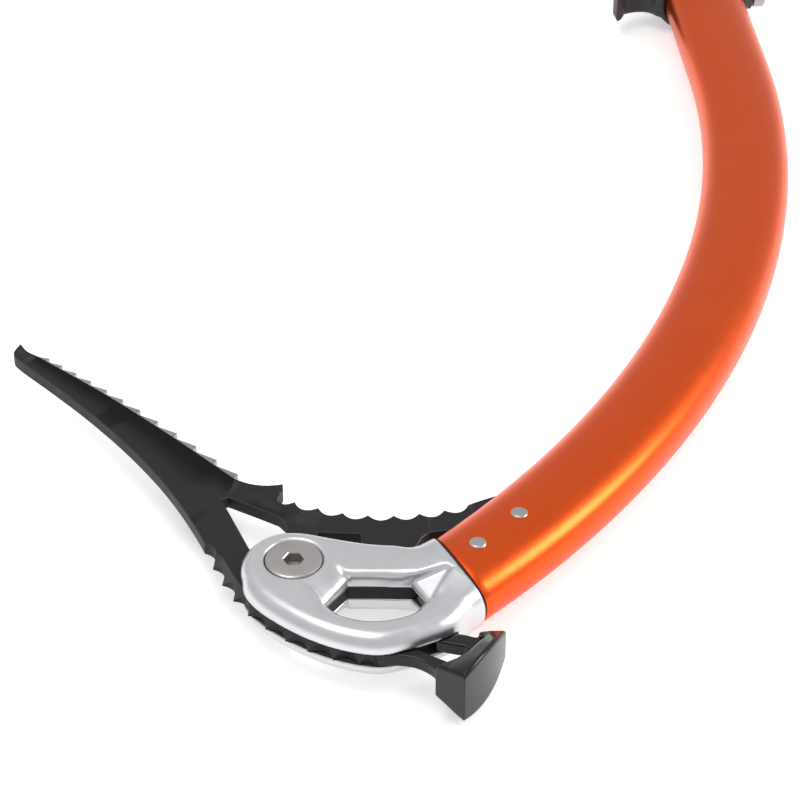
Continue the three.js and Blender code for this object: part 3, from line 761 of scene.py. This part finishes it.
def pick_line(sizes, shaft):
    tip = [-87.0, 109.2]
    line = Outline(tip)
    line.curve([-84.6, 105.4], FIRST_ROOT)
    line.line(*[after for _, _, after in tooth_places()])
    line.curve([-13.8, 40.6], [-8.9, 39.8], [-4.4, 40.4])
    line.curve([-4.3, 36.9], [-5.6, 33.4], [-3.6, 31.3], [-0.7, 32.3])
    scallops(line, BRANCH_LINE, BRANCH_BITES, BRANCH_BITE_DEPTH)
    edge = sizes.shaft_width / 2 + 0.4
    line.curve([52.6, 33.2], shaft.beside(34, edge))
    line.line(*[shaft.beside(station, edge) for station in (28, 22, 17, 12.5)])
    line.line([37.6, 18.8], [35.4, 16.5], [33.6, 12.4], [32.6, 10.6], [37.4, -4.2],
              [32.5, -5.0], [14.9, -5.0], [8.6, -14.4])
    line.curve([14.2, -20.1], [22.75, -22.0])
    line.line([22.75, -32.6])
    scallops(line, NOSE_LINE, NOSE_BITES, NOSE_BITE_DEPTH)
    line.curve([-28.1, 20.2], [-33.9, 32.2], [-41.2, 44.9], [-51.4, 59.8], [-63.2, 74.7],
               [-75.1, 88.1], [-86.2, 100.0], [-88.6, 104.4], tip)
    return line.loop()


def pick_holes():
    fork = Outline([-21.6, 33.4]).line(
        [-19.8, 34.3], [-12.0, 29.8], [-5.0, 25.6], [-3.0, 22.8], [-2.6, 12.6], [-11.8, 9.2])
    notch = Outline([6.1, 18.8]).line(
        [18.2, 18.2], [18.2, 7.6], [8.2, 9.4], [6.1, 12.0])
    bore = Outline([BOLT_BORE, 0]).arc(BOLT_BORE, 10, 350, 32)
    bore.points = [(x, y + BOLT_RISE) for x, y in bore.points]
    return [shape.loop(clockwise=True) for shape in (fork, notch, bore)]


def add_tooth(skin, root, peak, after, half, finish):
    """A filed tooth: its faces slope in towards the peak, down from both sides."""
    slope, sunk, proud = 0.45, 0.35, 0.3
    outward = (peak - after) / np.linalg.norm(peak - after)
    inward = -sunk * outward
    corners = [root + inward, peak + proud * outward, after + inward]
    heights = [half, half - slope, half]
    points = [(*corner, height) for corner, height in zip(corners, heights)]
    points += [(*corner, -height) for corner, height in zip(corners, heights)]
    faces = [(2, 1, 0), (3, 4, 5), (0, 1, 4, 3), (1, 2, 5, 4), (2, 0, 3, 5)]
    skin.add(points, faces, finish)


def nose_bevel(half):
    """Skin of what is ground away round the nose: the upper face falls to a thin edge. The
    cut starts before the track and lifts off it towards its end."""
    track = Track(NOSE_LINE)
    width, thin = 3.0, 0.5
    rise = (2 * half - thin) / width
    outside, past, above, before = 3.0, 0.6, 4.0, 2.0
    section = [(-outside, thin - half - outside * rise), (width + past, half + past * rise),
               (-outside, half + above)]
    rings = []
    for distance in np.linspace(-before, track.length, 60):
        lift = smooth_step(track.length - 8, track.length - 1, distance)
        lift *= 2 * half - thin + 0.3
        ahead = track.at(np.clip(distance + 0.5, 0, track.length))
        behind = track.at(np.clip(distance - 0.5, 0, track.length))
        along = (ahead - behind) / max(np.linalg.norm(ahead - behind), 1e-6)
        inward = np.array([along[1], -along[0]])
        nearest = np.clip(distance, 0, track.length)
        place = track.at(nearest) + along * (distance - nearest)
        rings.append([(*(place + inward * reach), height + lift) for reach, height in section])
    points, faces = bridge([np.array(ring) for ring in rings])
    return Skin().add(points, faces)


def subtract(piece, skin, material):
    """Cuts a skin out of a finished object. The cut faces take the material."""
    cutter_mesh = mesh_of("cutter", skin)
    cutter_mesh.materials.append(material)
    cutter = add_object("cutter", cutter_mesh)
    solid = bmesh.new()
    solid.from_mesh(cutter_mesh)
    bmesh.ops.recalc_face_normals(solid, faces=solid.faces)
    solid.to_mesh(cutter_mesh)
    solid.free()
    boolean = piece.modifiers.new("cut", "BOOLEAN")
    boolean.operation = "DIFFERENCE"
    boolean.solver = "EXACT"
    boolean.use_self = True
    boolean.material_mode = "TRANSFER"
    boolean.object = cutter
    depsgraph = bpy.context.evaluated_depsgraph_get()
    finished = bpy.data.meshes.new_from_object(piece.evaluated_get(depsgraph))
    piece.modifiers.clear()
    finished.set_sharp_from_angle(angle=math.radians(30))
    piece.data = finished
    bpy.data.objects.remove(cutter)


def build_pick(sizes, colours):
    shaft = ShaftLine(sizes)
    half = sizes.plate_thickness / 2
    coated = plain_material("black_steel", colours)
    edge = plain_material("black_steel_edge", colours)
    filed = bare_steel_material(colours)
    edge_finish, filed_finish = 1, 2
    skin = Skin()
    plate_skin(skin, pick_line(sizes, shaft), pick_holes(), half, 0.22, edge_finish)
    for root, peak, after in tooth_places():
        add_tooth(skin, root, peak, after, half, filed_finish)
    pick = make("pick", skin, [coated, edge, filed], AXE, ["pick"])
    subtract(pick, nose_bevel(half), edge)


HAMMER_BLOCK = {
    "back": (38.4, -40.4), "low": (46.0, -47.8), "high": (57.6, -25.9),
    "top": (50.2, -24.8), "inner": (51.6, -28.6), "heel": (46.6, -35.6),
}
HAMMER_HALF_HEIGHTS = [5.8, 8.2, 5.2]    # at its back, low and high corners


def hammer_line():
    line = Outline([23.25, -22.0])
    line.curve([31.8, -19.5], [37.2, -13.2])
    line.line([33.8, -6.2], [37.9, -5.3], [43.9, -23.5], [46.9, -24.2], [50.6, -25.6])
    line.line([52.0, -29.0], [47.0, -40.0], [40.0, -40.0])
    line.curve([37.4, -36.4], [33.4, -33.6], [28.6, -32.6], [23.25, -32.6])
    return line


def hammer_gap():
    return Outline([32.6, -23.4]).line(
        [31.8, -26.2], [33.6, -29.8], [38.7, -33.0], [42.6, -35.2], [46.2, -34.4],
        [48.4, -30.4], [46.3, -28.7], [41.8, -27.6], [38.9, -26.6], [37.8, -22.2])


def hammer_field(sizes):
    """The arm, a plate with softened edges, and the block, which flares to its domed face."""
    arm = hammer_line().loop()
    gap = hammer_gap().loop()
    low, high, back = (np.array(HAMMER_BLOCK[name]) for name in ("low", "high", "back"))
    dome, crown, crown_length = 1.2, 2.2, 6.5
    face = high - low
    outward = np.array([face[1], -face[0]]) / np.linalg.norm(face)
    block_line = Outline(back).line(low).bend((low + high) / 2 + 2 * dome * outward, high, 16)
    block_line.line(*[HAMMER_BLOCK[name] for name in ("top", "inner", "heel")])
    block = block_line.loop()
    corners = np.array([[1, *back], [1, *low], [1, *high]])
    tilt = np.linalg.solve(corners, HAMMER_HALF_HEIGHTS)

    def make_field(x, y):
        in_arm = np.minimum(inside_distance(arm, x, y), -inside_distance(gap, x, y))
        in_block = inside_distance(block, x, y)
        from_low = (x - low[0], y - low[1])
        share = np.clip((from_low[0] * face[0] + from_low[1] * face[1]) / face.dot(face), 0, 1)
        behind = -(from_low[0] * outward[0] + from_low[1] * outward[1])
        fullness = np.clip(1 - behind / crown_length, 0, 1)
        height = tilt[0] + tilt[1] * x + tilt[2] * y
        height += 4 * crown * share * (1 - share) * fullness

        def at_height(z):
            plate = slab(in_arm, z, sizes.plate_thickness / 2, 0.45)
            return join(plate, slab(in_block, z, height, 1.25), 1.2)

        return at_height

    return make_field


def build_hammer(sizes, colours):
    low, high = (22.5, -50.0, -10.4), (60.5, -3.5, 10.4)
    skin = Skin().add(*field_skin(hammer_field(sizes), low, high, 0.26))
    gloss = plain_material("black_steel_hammer", colours)
    make("hammer", skin, [gloss], AXE, ["hammer"], smooth_to=60)


# ---- bolt, nut and rivets


def build_fasteners(sizes, colours):
    half = sizes.head_thickness / 2
    radius = sizes.bolt_diameter / 2
    steel = bolt_steel_material(colours, "bolt_steel")

    def hexagon(angle):
        sixth = math.pi / 3
        return sizes.socket_width / 2 / np.cos((angle % sixth) - sixth / 2)

    def hexagon_rim(angle):
        return hexagon(angle) + 0.25

    profile = [
        (0, half - 3.6), (1.2, half - 3.5), (hexagon, half - 3.2), (hexagon, half - 0.25),
        (hexagon_rim, half), (radius * 0.6, half), (radius - 0.7, half),
        (radius - 0.45, half - 0.06), (radius - 0.15, half - 0.25), (radius, half - 0.6),
        (radius, half - 2.7), (4.0, half - 2.7), (4.0, 0.6 - half), (3.4, 0.1 - half),
        (0, 0.1 - half),
    ]
    bolt = Skin().add(*turned_skin(profile, 96, (0, BOLT_RISE)))
    make("bolt", bolt, [steel], AXE, ["pick_bolt"])

    outer = sizes.nut_diameter / 2
    nut_profile = [
        (BOLT_BORE, 2.6 - half), (outer, 2.6 - half), (outer, 0.5 - half), (outer - 0.5, -half),
        (4.7, -half), (BOLT_BORE, 0.4 - half), (BOLT_BORE, 2.6 - half),
    ]
    pit_radius, pit_reach, pit_floor = 0.7, 5.8, 0.05 - half
    pit_profile = [(0, pit_floor), (pit_radius, pit_floor), (pit_radius, -half), (0, -half)]
    nut = Skin().add(*turned_skin(nut_profile, 64, (0, BOLT_RISE)))
    for turn in range(4):
        angle = math.pi / 4 + turn * math.pi / 2
        place = (pit_reach * math.cos(angle), pit_reach * math.sin(angle) + BOLT_RISE)
        nut.add(*turned_skin(pit_profile, 16, place))
    make("bolt_nut", nut, [steel], AXE, ["pick_bolt_nut"])

    shaft = ShaftLine(sizes)
    places = {
        "head_rivet_front": 6.4,
        "head_rivet_rear": 24.0,
        "spike_rivet": shaft.end - sizes.bare_end / 2,
    }
    top = sizes.shaft_thickness / 2
    edge = sizes.rivet_diameter / 2
    half_profile = [
        (0, top + 0.48), (edge * 0.5, top + 0.46), (edge * 0.78, top + 0.39),
        (edge * 0.93, top + 0.25), (edge, top + 0.05), (edge, top - 0.15), (2, top - 0.2),
    ]
    profile = half_profile + [(reach, -height) for reach, height in reversed(half_profile)]
    for node, station in places.items():
        skin = Skin().add(*turned_skin(profile, 40, shaft.at(station)[0]))
        make(node + "_turned", skin, [steel], AXE, [node])


# ---- shaft and seal


def build_shaft(sizes, colours):
    shaft = ShaftLine(sizes)
    orange = plain_material("orange_anodised", colours)
    beside, height = oval_ring(sizes.shaft_width, sizes.shaft_thickness, sizes.oval_power)
    mouth = shaft.seam(beside, height)
    start = sizes.seal_width + 0.1
    rounding = ((0.0, -0.35), (0.1, -0.12), (0.35, 0.0))
    sections = [(mouth + start + ahead, growth) for ahead, growth in rounding]
    eased = 26.0
    for ahead in np.linspace(2, eased, 9):
        fade = 1 - ahead / eased
        sections.append((mouth * fade + start * fade + ahead, 0.0))
    sections += [(station, 0.0) for station in np.linspace(eased + 3, shaft.bent, 70)]
    sections += [(shaft.bent + 60, 0.0), (shaft.end - 0.4, 0.0), (shaft.end - 0.1, -0.12),
                 (shaft.end, -0.4)]
    wall = -sizes.shaft_wall
    sections += [(shaft.end, wall), (shaft.bent, wall)]
    sections += [(station, wall) for station in np.linspace(shaft.bent - 8, 4, 40)]
    skin = Skin()
    points, faces = shaft_skin(shaft, sections)
    skin.add(points, faces[:-2])
    last = len(points) - RING_POINTS
    for i in range(RING_POINTS):
        after = (i + 1) % RING_POINTS
        skin.faces.append((last + i, last + after, after, i))
        skin.finishes.append(0)
    make("shaft", skin, [orange], AXE, ["shaft_tube"], smooth_to=40)

    seal = [(mouth + 0.1, -1.5), (mouth + 0.1, -0.45), (mouth + 0.3, -0.22),
            (mouth + sizes.seal_width - 0.2, -0.22), (mouth + sizes.seal_width, -0.45),
            (mouth + sizes.seal_width, -1.5)]
    rubber = plain_material("black_rubber", colours)
    skin = Skin().add(*shaft_skin(shaft, seal))
    make("seal", skin, [rubber], AXE, ["shaft_seal"])


# ---- grip, pommel and spike


def hook_line(root, tip, height):
    """A finger hook: hollow on the head side, with a raised tip."""
    line = Outline([root, -height / 2])
    line.bend([tip - 4, -height / 2], [tip, height * 0.3])
    line.line([tip - 0.6, height * 0.75])
    line.bend([tip - 3, height * 0.75], [tip - 4.5, height * 0.3])
    line.bend([root + 7, 0], [root + 4.5, height / 2])
    line.line([root, height / 2])
    return line.loop()


def band_field(sizes, band_length, growth, reach, hook_height, hook_thickness, boss=None):
    """A band round the tube with a finger hook, and a boss for a screw where one is asked for.
    It is drawn as (towards the pick, towards the head, up)."""
    screw_bore, boss_depth = 2.3, 8
    half_width = sizes.shaft_width / 2
    half_thickness = sizes.shaft_thickness / 2
    root = sizes.shaft_width / 2 - 1
    hook = hook_line(root, sizes.shaft_width / 2 + reach, hook_height)

    def make_field(x, y):
        in_hook = inside_distance(hook, x, y)
        along = np.abs(y) - band_length / 2

        def at_height(z):
            outer = oval_distance(
                x, z, half_width + growth, half_thickness + growth, sizes.oval_power)
            band = rolled_corner(outer, along, 0.9)
            solid = join(band, slab(in_hook, z, hook_thickness / 2, 2.2), 1.5)
            if boss:
                radius, end = boss
                from_screw = np.hypot(y, z)
                ends = np.maximum(x + boss_depth, -x - end)
                solid = join(solid, np.maximum(from_screw - radius, ends), 0.8)
                solid = cut(solid, np.maximum(from_screw - screw_bore, x + boss_depth), 0.2)
            gap = sizes.fit_gap
            inner = oval_distance(x, z, half_width + gap, half_thickness + gap, sizes.oval_power)
            return cut(solid, inner, 0.2)

        return at_height

    return make_field


def placed_field(shaft, station, make_field, low, high, step):
    points, quads = field_skin(make_field, low, high, step)
    return Skin().add(shaft.place(points, station), quads[:, ::-1])


def build_grip(sizes, colours):
    shaft = ShaftLine(sizes)
    rubber = plain_material("black_rubber", colours)
    plastic = plain_material("black_plastic", colours)
    wall = sizes.fit_gap + sizes.grip_wall
    start, end = shaft.grip_start, shaft.grip_end - 0.15
    lip, rib_pitch, rib_depth = 6.0, 3.0, 0.7
    sections = [(start, sizes.fit_gap + 0.05), (start, sizes.fit_gap + 1.0)]
    for station in np.arange(start + 0.3, end - 0.2, 0.3):
        rise = 1.2 + (sizes.grip_wall - 1.2) * smooth_step(0, lip, station - start)
        phase = (station - start - lip) / rib_pitch
        groove = (0.5 - 0.5 * math.cos(2 * math.pi * phase)) ** 4
        ribbed = lip < station - start < end - start - 5
        sections.append((station, sizes.fit_gap + rise - (rib_depth * groove if ribbed else 0)))
    sections += [(end, wall - 0.3), (end, sizes.fit_gap + 0.05)]
    points, faces = shaft_skin(shaft, sections + [(start, sizes.fit_gap + 0.05)])
    skin = Skin().add(points, faces[:-2])
    make("grip", skin, [rubber], AXE, ["grip_sleeve"], smooth_to=50)

    middle = (shaft.grip_end + 0.15 + shaft.pommel_end) / 2
    band = band_field(sizes, sizes.pommel_length - 0.15, wall, 15, 0.8 * sizes.pommel_length,
                      0.8 * sizes.shaft_thickness)
    skin = placed_field(shaft, middle, band, (-18, -9, -12.5), (31, 11, 12.5), 0.35)
    make("pommel", skin, [plastic], AXE, ["pommel"], smooth_to=60)

    skin = placed_field(shaft, shaft.end + sizes.fit_gap, spike_field(sizes),
                        (-15.5, -41, -9.8), (15.5, 1, 9.8), 0.32)
    inside = -sizes.shaft_wall - sizes.fit_gap
    skin.add(*shaft_skin(shaft, [(shaft.end + at, inside) for at in (-30, -10, 1)]))
    bare = bare_steel_material(colours)
    make("spike", skin, [bare], AXE, ["spike"], smooth_to=60)


def spike_field(sizes):
    """A solid that flattens from the tube's oval to a blade with a clip hole, then a point."""
    hole_share, hole_radius = 0.44, 6
    shares = (0, 0.08, 0.26, 0.4, 0.7, 0.92, 0.995)
    widths = np.array([1, 1, 0.94, 0.84, 0.5, 0.2, 0.06]) * sizes.shaft_width / 2
    heights = np.array([
        sizes.shaft_thickness, sizes.shaft_thickness * 0.96, sizes.spike_blade * 1.5,
        sizes.spike_blade, sizes.spike_blade, sizes.spike_blade * 0.8, 1.8]) / 2

    def make_field(x, y):
        share = -y / sizes.spike_length
        width = np.interp(share, shares, widths)
        thickness = np.interp(share, shares, heights)
        ends = np.maximum(y, -y - sizes.spike_length)
        hole = np.hypot(x, y + hole_share * sizes.spike_length) - hole_radius

        def at_height(z):
            body = oval_distance(x, z, width, thickness, 2.6) * 0.9
            return cut(np.maximum(body, ends), hole, 1.0)

        return at_height

    return make_field


# ---- finger rest


def build_finger_rest(sizes, colours):
    shaft = ShaftLine(sizes)
    middle = (shaft.rest_start + shaft.rest_end) / 2
    wall = sizes.fit_gap + sizes.rest_wall
    boss_end = sizes.shaft_width / 2 + wall + 2
    field = band_field(sizes, sizes.rest_length, wall, 19, 0.9 * sizes.rest_length,
                       0.62 * sizes.shaft_thickness, (0.44 * sizes.rest_length, boss_end))
    skin = placed_field(shaft, middle, field, (-20, -9, -12.5), (35, 11.5, 12.5), 0.35)
    plastic = plain_material("black_plastic", colours)
    make("rest_band", skin, [plastic], FINGER_REST, ["finger_rest_band"],
         smooth_to=60)

    def lying_skin(profile, count):
        """A turned skin laid on its side, with its axis towards the pick."""
        points, faces = turned_skin(profile, count)
        lying = np.column_stack([-points[:, 2], points[:, 1], points[:, 0]])
        return Skin().add(shaft.place(lying, middle), [face[::-1] for face in faces])

    def knurled(angle):
        return 4.85 + 0.14 * np.cos(24 * angle)

    steel = bolt_steel_material(colours, "screw_steel")
    seat = boss_end + 0.15
    tip = sizes.shaft_width / 2 + 1.3
    profile = [(0, seat + 4.9), (3.2, seat + 4.95), (4.2, seat + 4.8), (knurled, seat + 4.2),
               (knurled, seat + 0.7), (4.2, seat + 0.1), (2, seat), (2, tip), (0, tip)]
    make("rest_screw", lying_skin(profile, 144), [steel], FINGER_REST, ["finger_rest_screw"])

    outside = sizes.shaft_width / 2
    profile = [(0, outside + 1.15), (1.7, outside + 1.15), (2, outside + 0.9), (2, outside + 0.3),
               (1.8, outside + 0.15), (0, outside + 0.15)]
    make("rest_shoe", lying_skin(profile, 32), [steel], FINGER_REST, ["finger_rest_shoe"])


# ---- studio

CAMERA_PLACE = (-0.00888, -0.80465, 0.51201)
CAMERA_TILT = 53.079    # degrees from straight down
CAMERA_LENS = 125.352    # millimetres
FLOOR_SIDE = 4.0    # metres from the middle to an edge
FLOOR_GLOW = 0.42
SKY = {0.08: 1.0, 0.3: 0.6, 0.6: 0.74, 0.95: 0.62}    # brightness at each height


def add_lamp(name, place, aim, size, power):
    data = bpy.data.lights.new(name, "AREA")
    data.shape = "RECTANGLE"
    data.size, data.size_y = size
    data.energy = power
    lamp = add_object(name, data)
    lamp.location = place
    lamp.rotation_euler = (Vector(aim) - Vector(place)).to_track_quat("-Z", "Y").to_euler()


def build_floor():
    """A matt white floor. Camera, glossy and transmission rays see it a little brighter, so
    that it clips to white and keeps only the object's shadow."""
    mesh = bpy.data.meshes.new("floor")
    corners = [(-1, -1), (1, -1), (1, 1), (-1, 1)]
    points = [(x * FLOOR_SIDE, y * FLOOR_SIDE, 0) for x, y in corners]
    mesh.from_pydata(points, [], [(0, 1, 2, 3)])
    floor = add_object("floor", mesh)
    nodes = Nodes("floor")
    shader = nodes.shader
    fill(shader, {"Base Color": (0.9, 0.9, 0.9, 1), "Roughness": 1.0, "Specular IOR Level": 0.0,
                  "Emission Color": (1, 1, 1, 1)})
    seen = seen_rays(nodes.tree)
    strength = nodes.spread(seen, 0.0, FLOOR_GLOW, 0, 1)
    nodes.join(strength, shader.inputs["Emission Strength"])
    mesh.materials.append(nodes.material)


def seen_rays(tree):
    """1 for camera, glossy and transmission rays, 0 for others."""
    path = tree.nodes.new("ShaderNodeLightPath")
    total = path.outputs["Is Camera Ray"]
    for name in ("Is Glossy Ray", "Is Transmission Ray"):
        either = tree.nodes.new("ShaderNodeMath")
        either.operation = "MAXIMUM"
        tree.links.new(total, either.inputs[0])
        tree.links.new(path.outputs[name], either.inputs[1])
        total = either.outputs[0]
    return total


def build_world():
    """White round the horizon, darker overhead, so that polished rims have something to show."""
    world = bpy.context.scene.world or bpy.data.worlds.new("World")
    bpy.context.scene.world = world
    world.use_nodes = True
    tree = world.node_tree
    tree.nodes.clear()
    coordinates = tree.nodes.new("ShaderNodeTexCoord")
    axes = tree.nodes.new("ShaderNodeSeparateXYZ")
    tree.links.new(coordinates.outputs["Generated"], axes.inputs["Vector"])
    ramp = tree.nodes.new("ShaderNodeValToRGB")
    while len(ramp.color_ramp.elements) < len(SKY):
        ramp.color_ramp.elements.new(0.5)
    for element, (position, level) in zip(ramp.color_ramp.elements, SKY.items()):
        element.position = position
        element.color = (level, level, level * 1.02, 1)
    tree.links.new(axes.outputs["Z"], ramp.inputs["Fac"])
    background = tree.nodes.new("ShaderNodeBackground")
    background.inputs["Strength"].default_value = 1.0
    tree.links.new(ramp.outputs["Color"], background.inputs["Color"])
    output = tree.nodes.new("ShaderNodeOutputWorld")
    tree.links.new(background.outputs["Background"], output.inputs["Surface"])


def build_studio():
    build_floor()
    build_world()
    head = Vector(NOSE)
    add_lamp("overhead", head + Vector((-0.2, 0.1, 1.0)), head, (0.5, 0.4), 2.6)
    add_lamp("right", head + Vector((0.85, 0.12, 0.52)), head, (0.32, 0.4), 4.4)
    data = bpy.data.cameras.new("camera")
    data.lens = CAMERA_LENS
    data.sensor_width = 36
    data.clip_start = 0.01
    data.clip_end = 20
    camera = add_object("camera", data)
    camera.location = CAMERA_PLACE
    camera.rotation_euler = (math.radians(CAMERA_TILT), 0, 0)
    bpy.context.scene.camera = camera
    bpy.context.scene.view_settings.view_transform = "Standard"


# ---- add-on


def settings(context):
    return context.scene.ice_axe_sizes, context.scene.ice_axe_colours


class PieceOperator:
    """What the operators of the pieces share: each one runs its own build function."""

    def execute(self, context):
        self.build(*settings(context))
        return {"FINISHED"}


class ICEAXE_OT_head(PieceOperator, bpy.types.Operator):
    """Add the forged head"""

    bl_idname = "ice_axe.head"
    bl_label = "Head"
    build = staticmethod(build_head)


class ICEAXE_OT_pick(PieceOperator, bpy.types.Operator):
    """Add the pick with its filed teeth"""

    bl_idname = "ice_axe.pick"
    bl_label = "Pick"
    build = staticmethod(build_pick)


class ICEAXE_OT_hammer(PieceOperator, bpy.types.Operator):
    """Add the hammer"""

    bl_idname = "ice_axe.hammer"
    bl_label = "Hammer"
    build = staticmethod(build_hammer)


class ICEAXE_OT_fasteners(PieceOperator, bpy.types.Operator):
    """Add the pick bolt, its nut and the rivets"""

    bl_idname = "ice_axe.fasteners"
    bl_label = "Fasteners"
    build = staticmethod(build_fasteners)


class ICEAXE_OT_shaft(PieceOperator, bpy.types.Operator):
    """Add the bent oval tube and the seal at its head end"""

    bl_idname = "ice_axe.shaft"
    bl_label = "Shaft"
    build = staticmethod(build_shaft)


class ICEAXE_OT_grip(PieceOperator, bpy.types.Operator):
    """Add the ribbed grip, the pommel and the spike"""

    bl_idname = "ice_axe.grip"
    bl_label = "Grip and Spike"
    build = staticmethod(build_grip)


class ICEAXE_OT_finger_rest(PieceOperator, bpy.types.Operator):
    """Add the sliding finger rest and its clamp screw"""

    bl_idname = "ice_axe.finger_rest"
    bl_label = "Finger Rest"
    build = staticmethod(build_finger_rest)


class ICEAXE_OT_studio(bpy.types.Operator):
    """Add the floor, the world, the lamps and the camera"""

    bl_idname = "ice_axe.studio"
    bl_label = "Studio"

    def execute(self, context):
        build_studio()
        return {"FINISHED"}


OPERATORS = (
    ICEAXE_OT_head, ICEAXE_OT_pick, ICEAXE_OT_hammer, ICEAXE_OT_fasteners,
    ICEAXE_OT_shaft, ICEAXE_OT_grip, ICEAXE_OT_finger_rest, ICEAXE_OT_studio,
)


class ICEAXE_PT_panel(bpy.types.Panel):
    """The ice axe's pieces, sizes and colours"""

    bl_idname = "ICEAXE_PT_panel"
    bl_label = "Ice Axe"
    bl_space_type = "VIEW_3D"
    bl_region_type = "UI"
    bl_category = "Ice Axe"

    def draw(self, context):
        for operator in OPERATORS:
            self.layout.operator(operator.bl_idname)
        for group in settings(context):
            box = self.layout.box()
            for name in group.__annotations__:
                box.prop(group, name)


CLASSES = (IceAxeSizes, IceAxeColours, *OPERATORS, ICEAXE_PT_panel)


def register():
    for item in CLASSES:
        bpy.utils.register_class(item)
    bpy.types.Scene.ice_axe_sizes = bpy.props.PointerProperty(type=IceAxeSizes)
    bpy.types.Scene.ice_axe_colours = bpy.props.PointerProperty(type=IceAxeColours)


def unregister():
    del bpy.types.Scene.ice_axe_colours
    del bpy.types.Scene.ice_axe_sizes
    for item in reversed(CLASSES):
        bpy.utils.unregister_class(item)


def main():
    register()
    for operator in OPERATORS:
        group, name = operator.bl_idname.split(".")
        getattr(getattr(bpy.ops, group), name)()


if __name__ == "__main__":
    main()
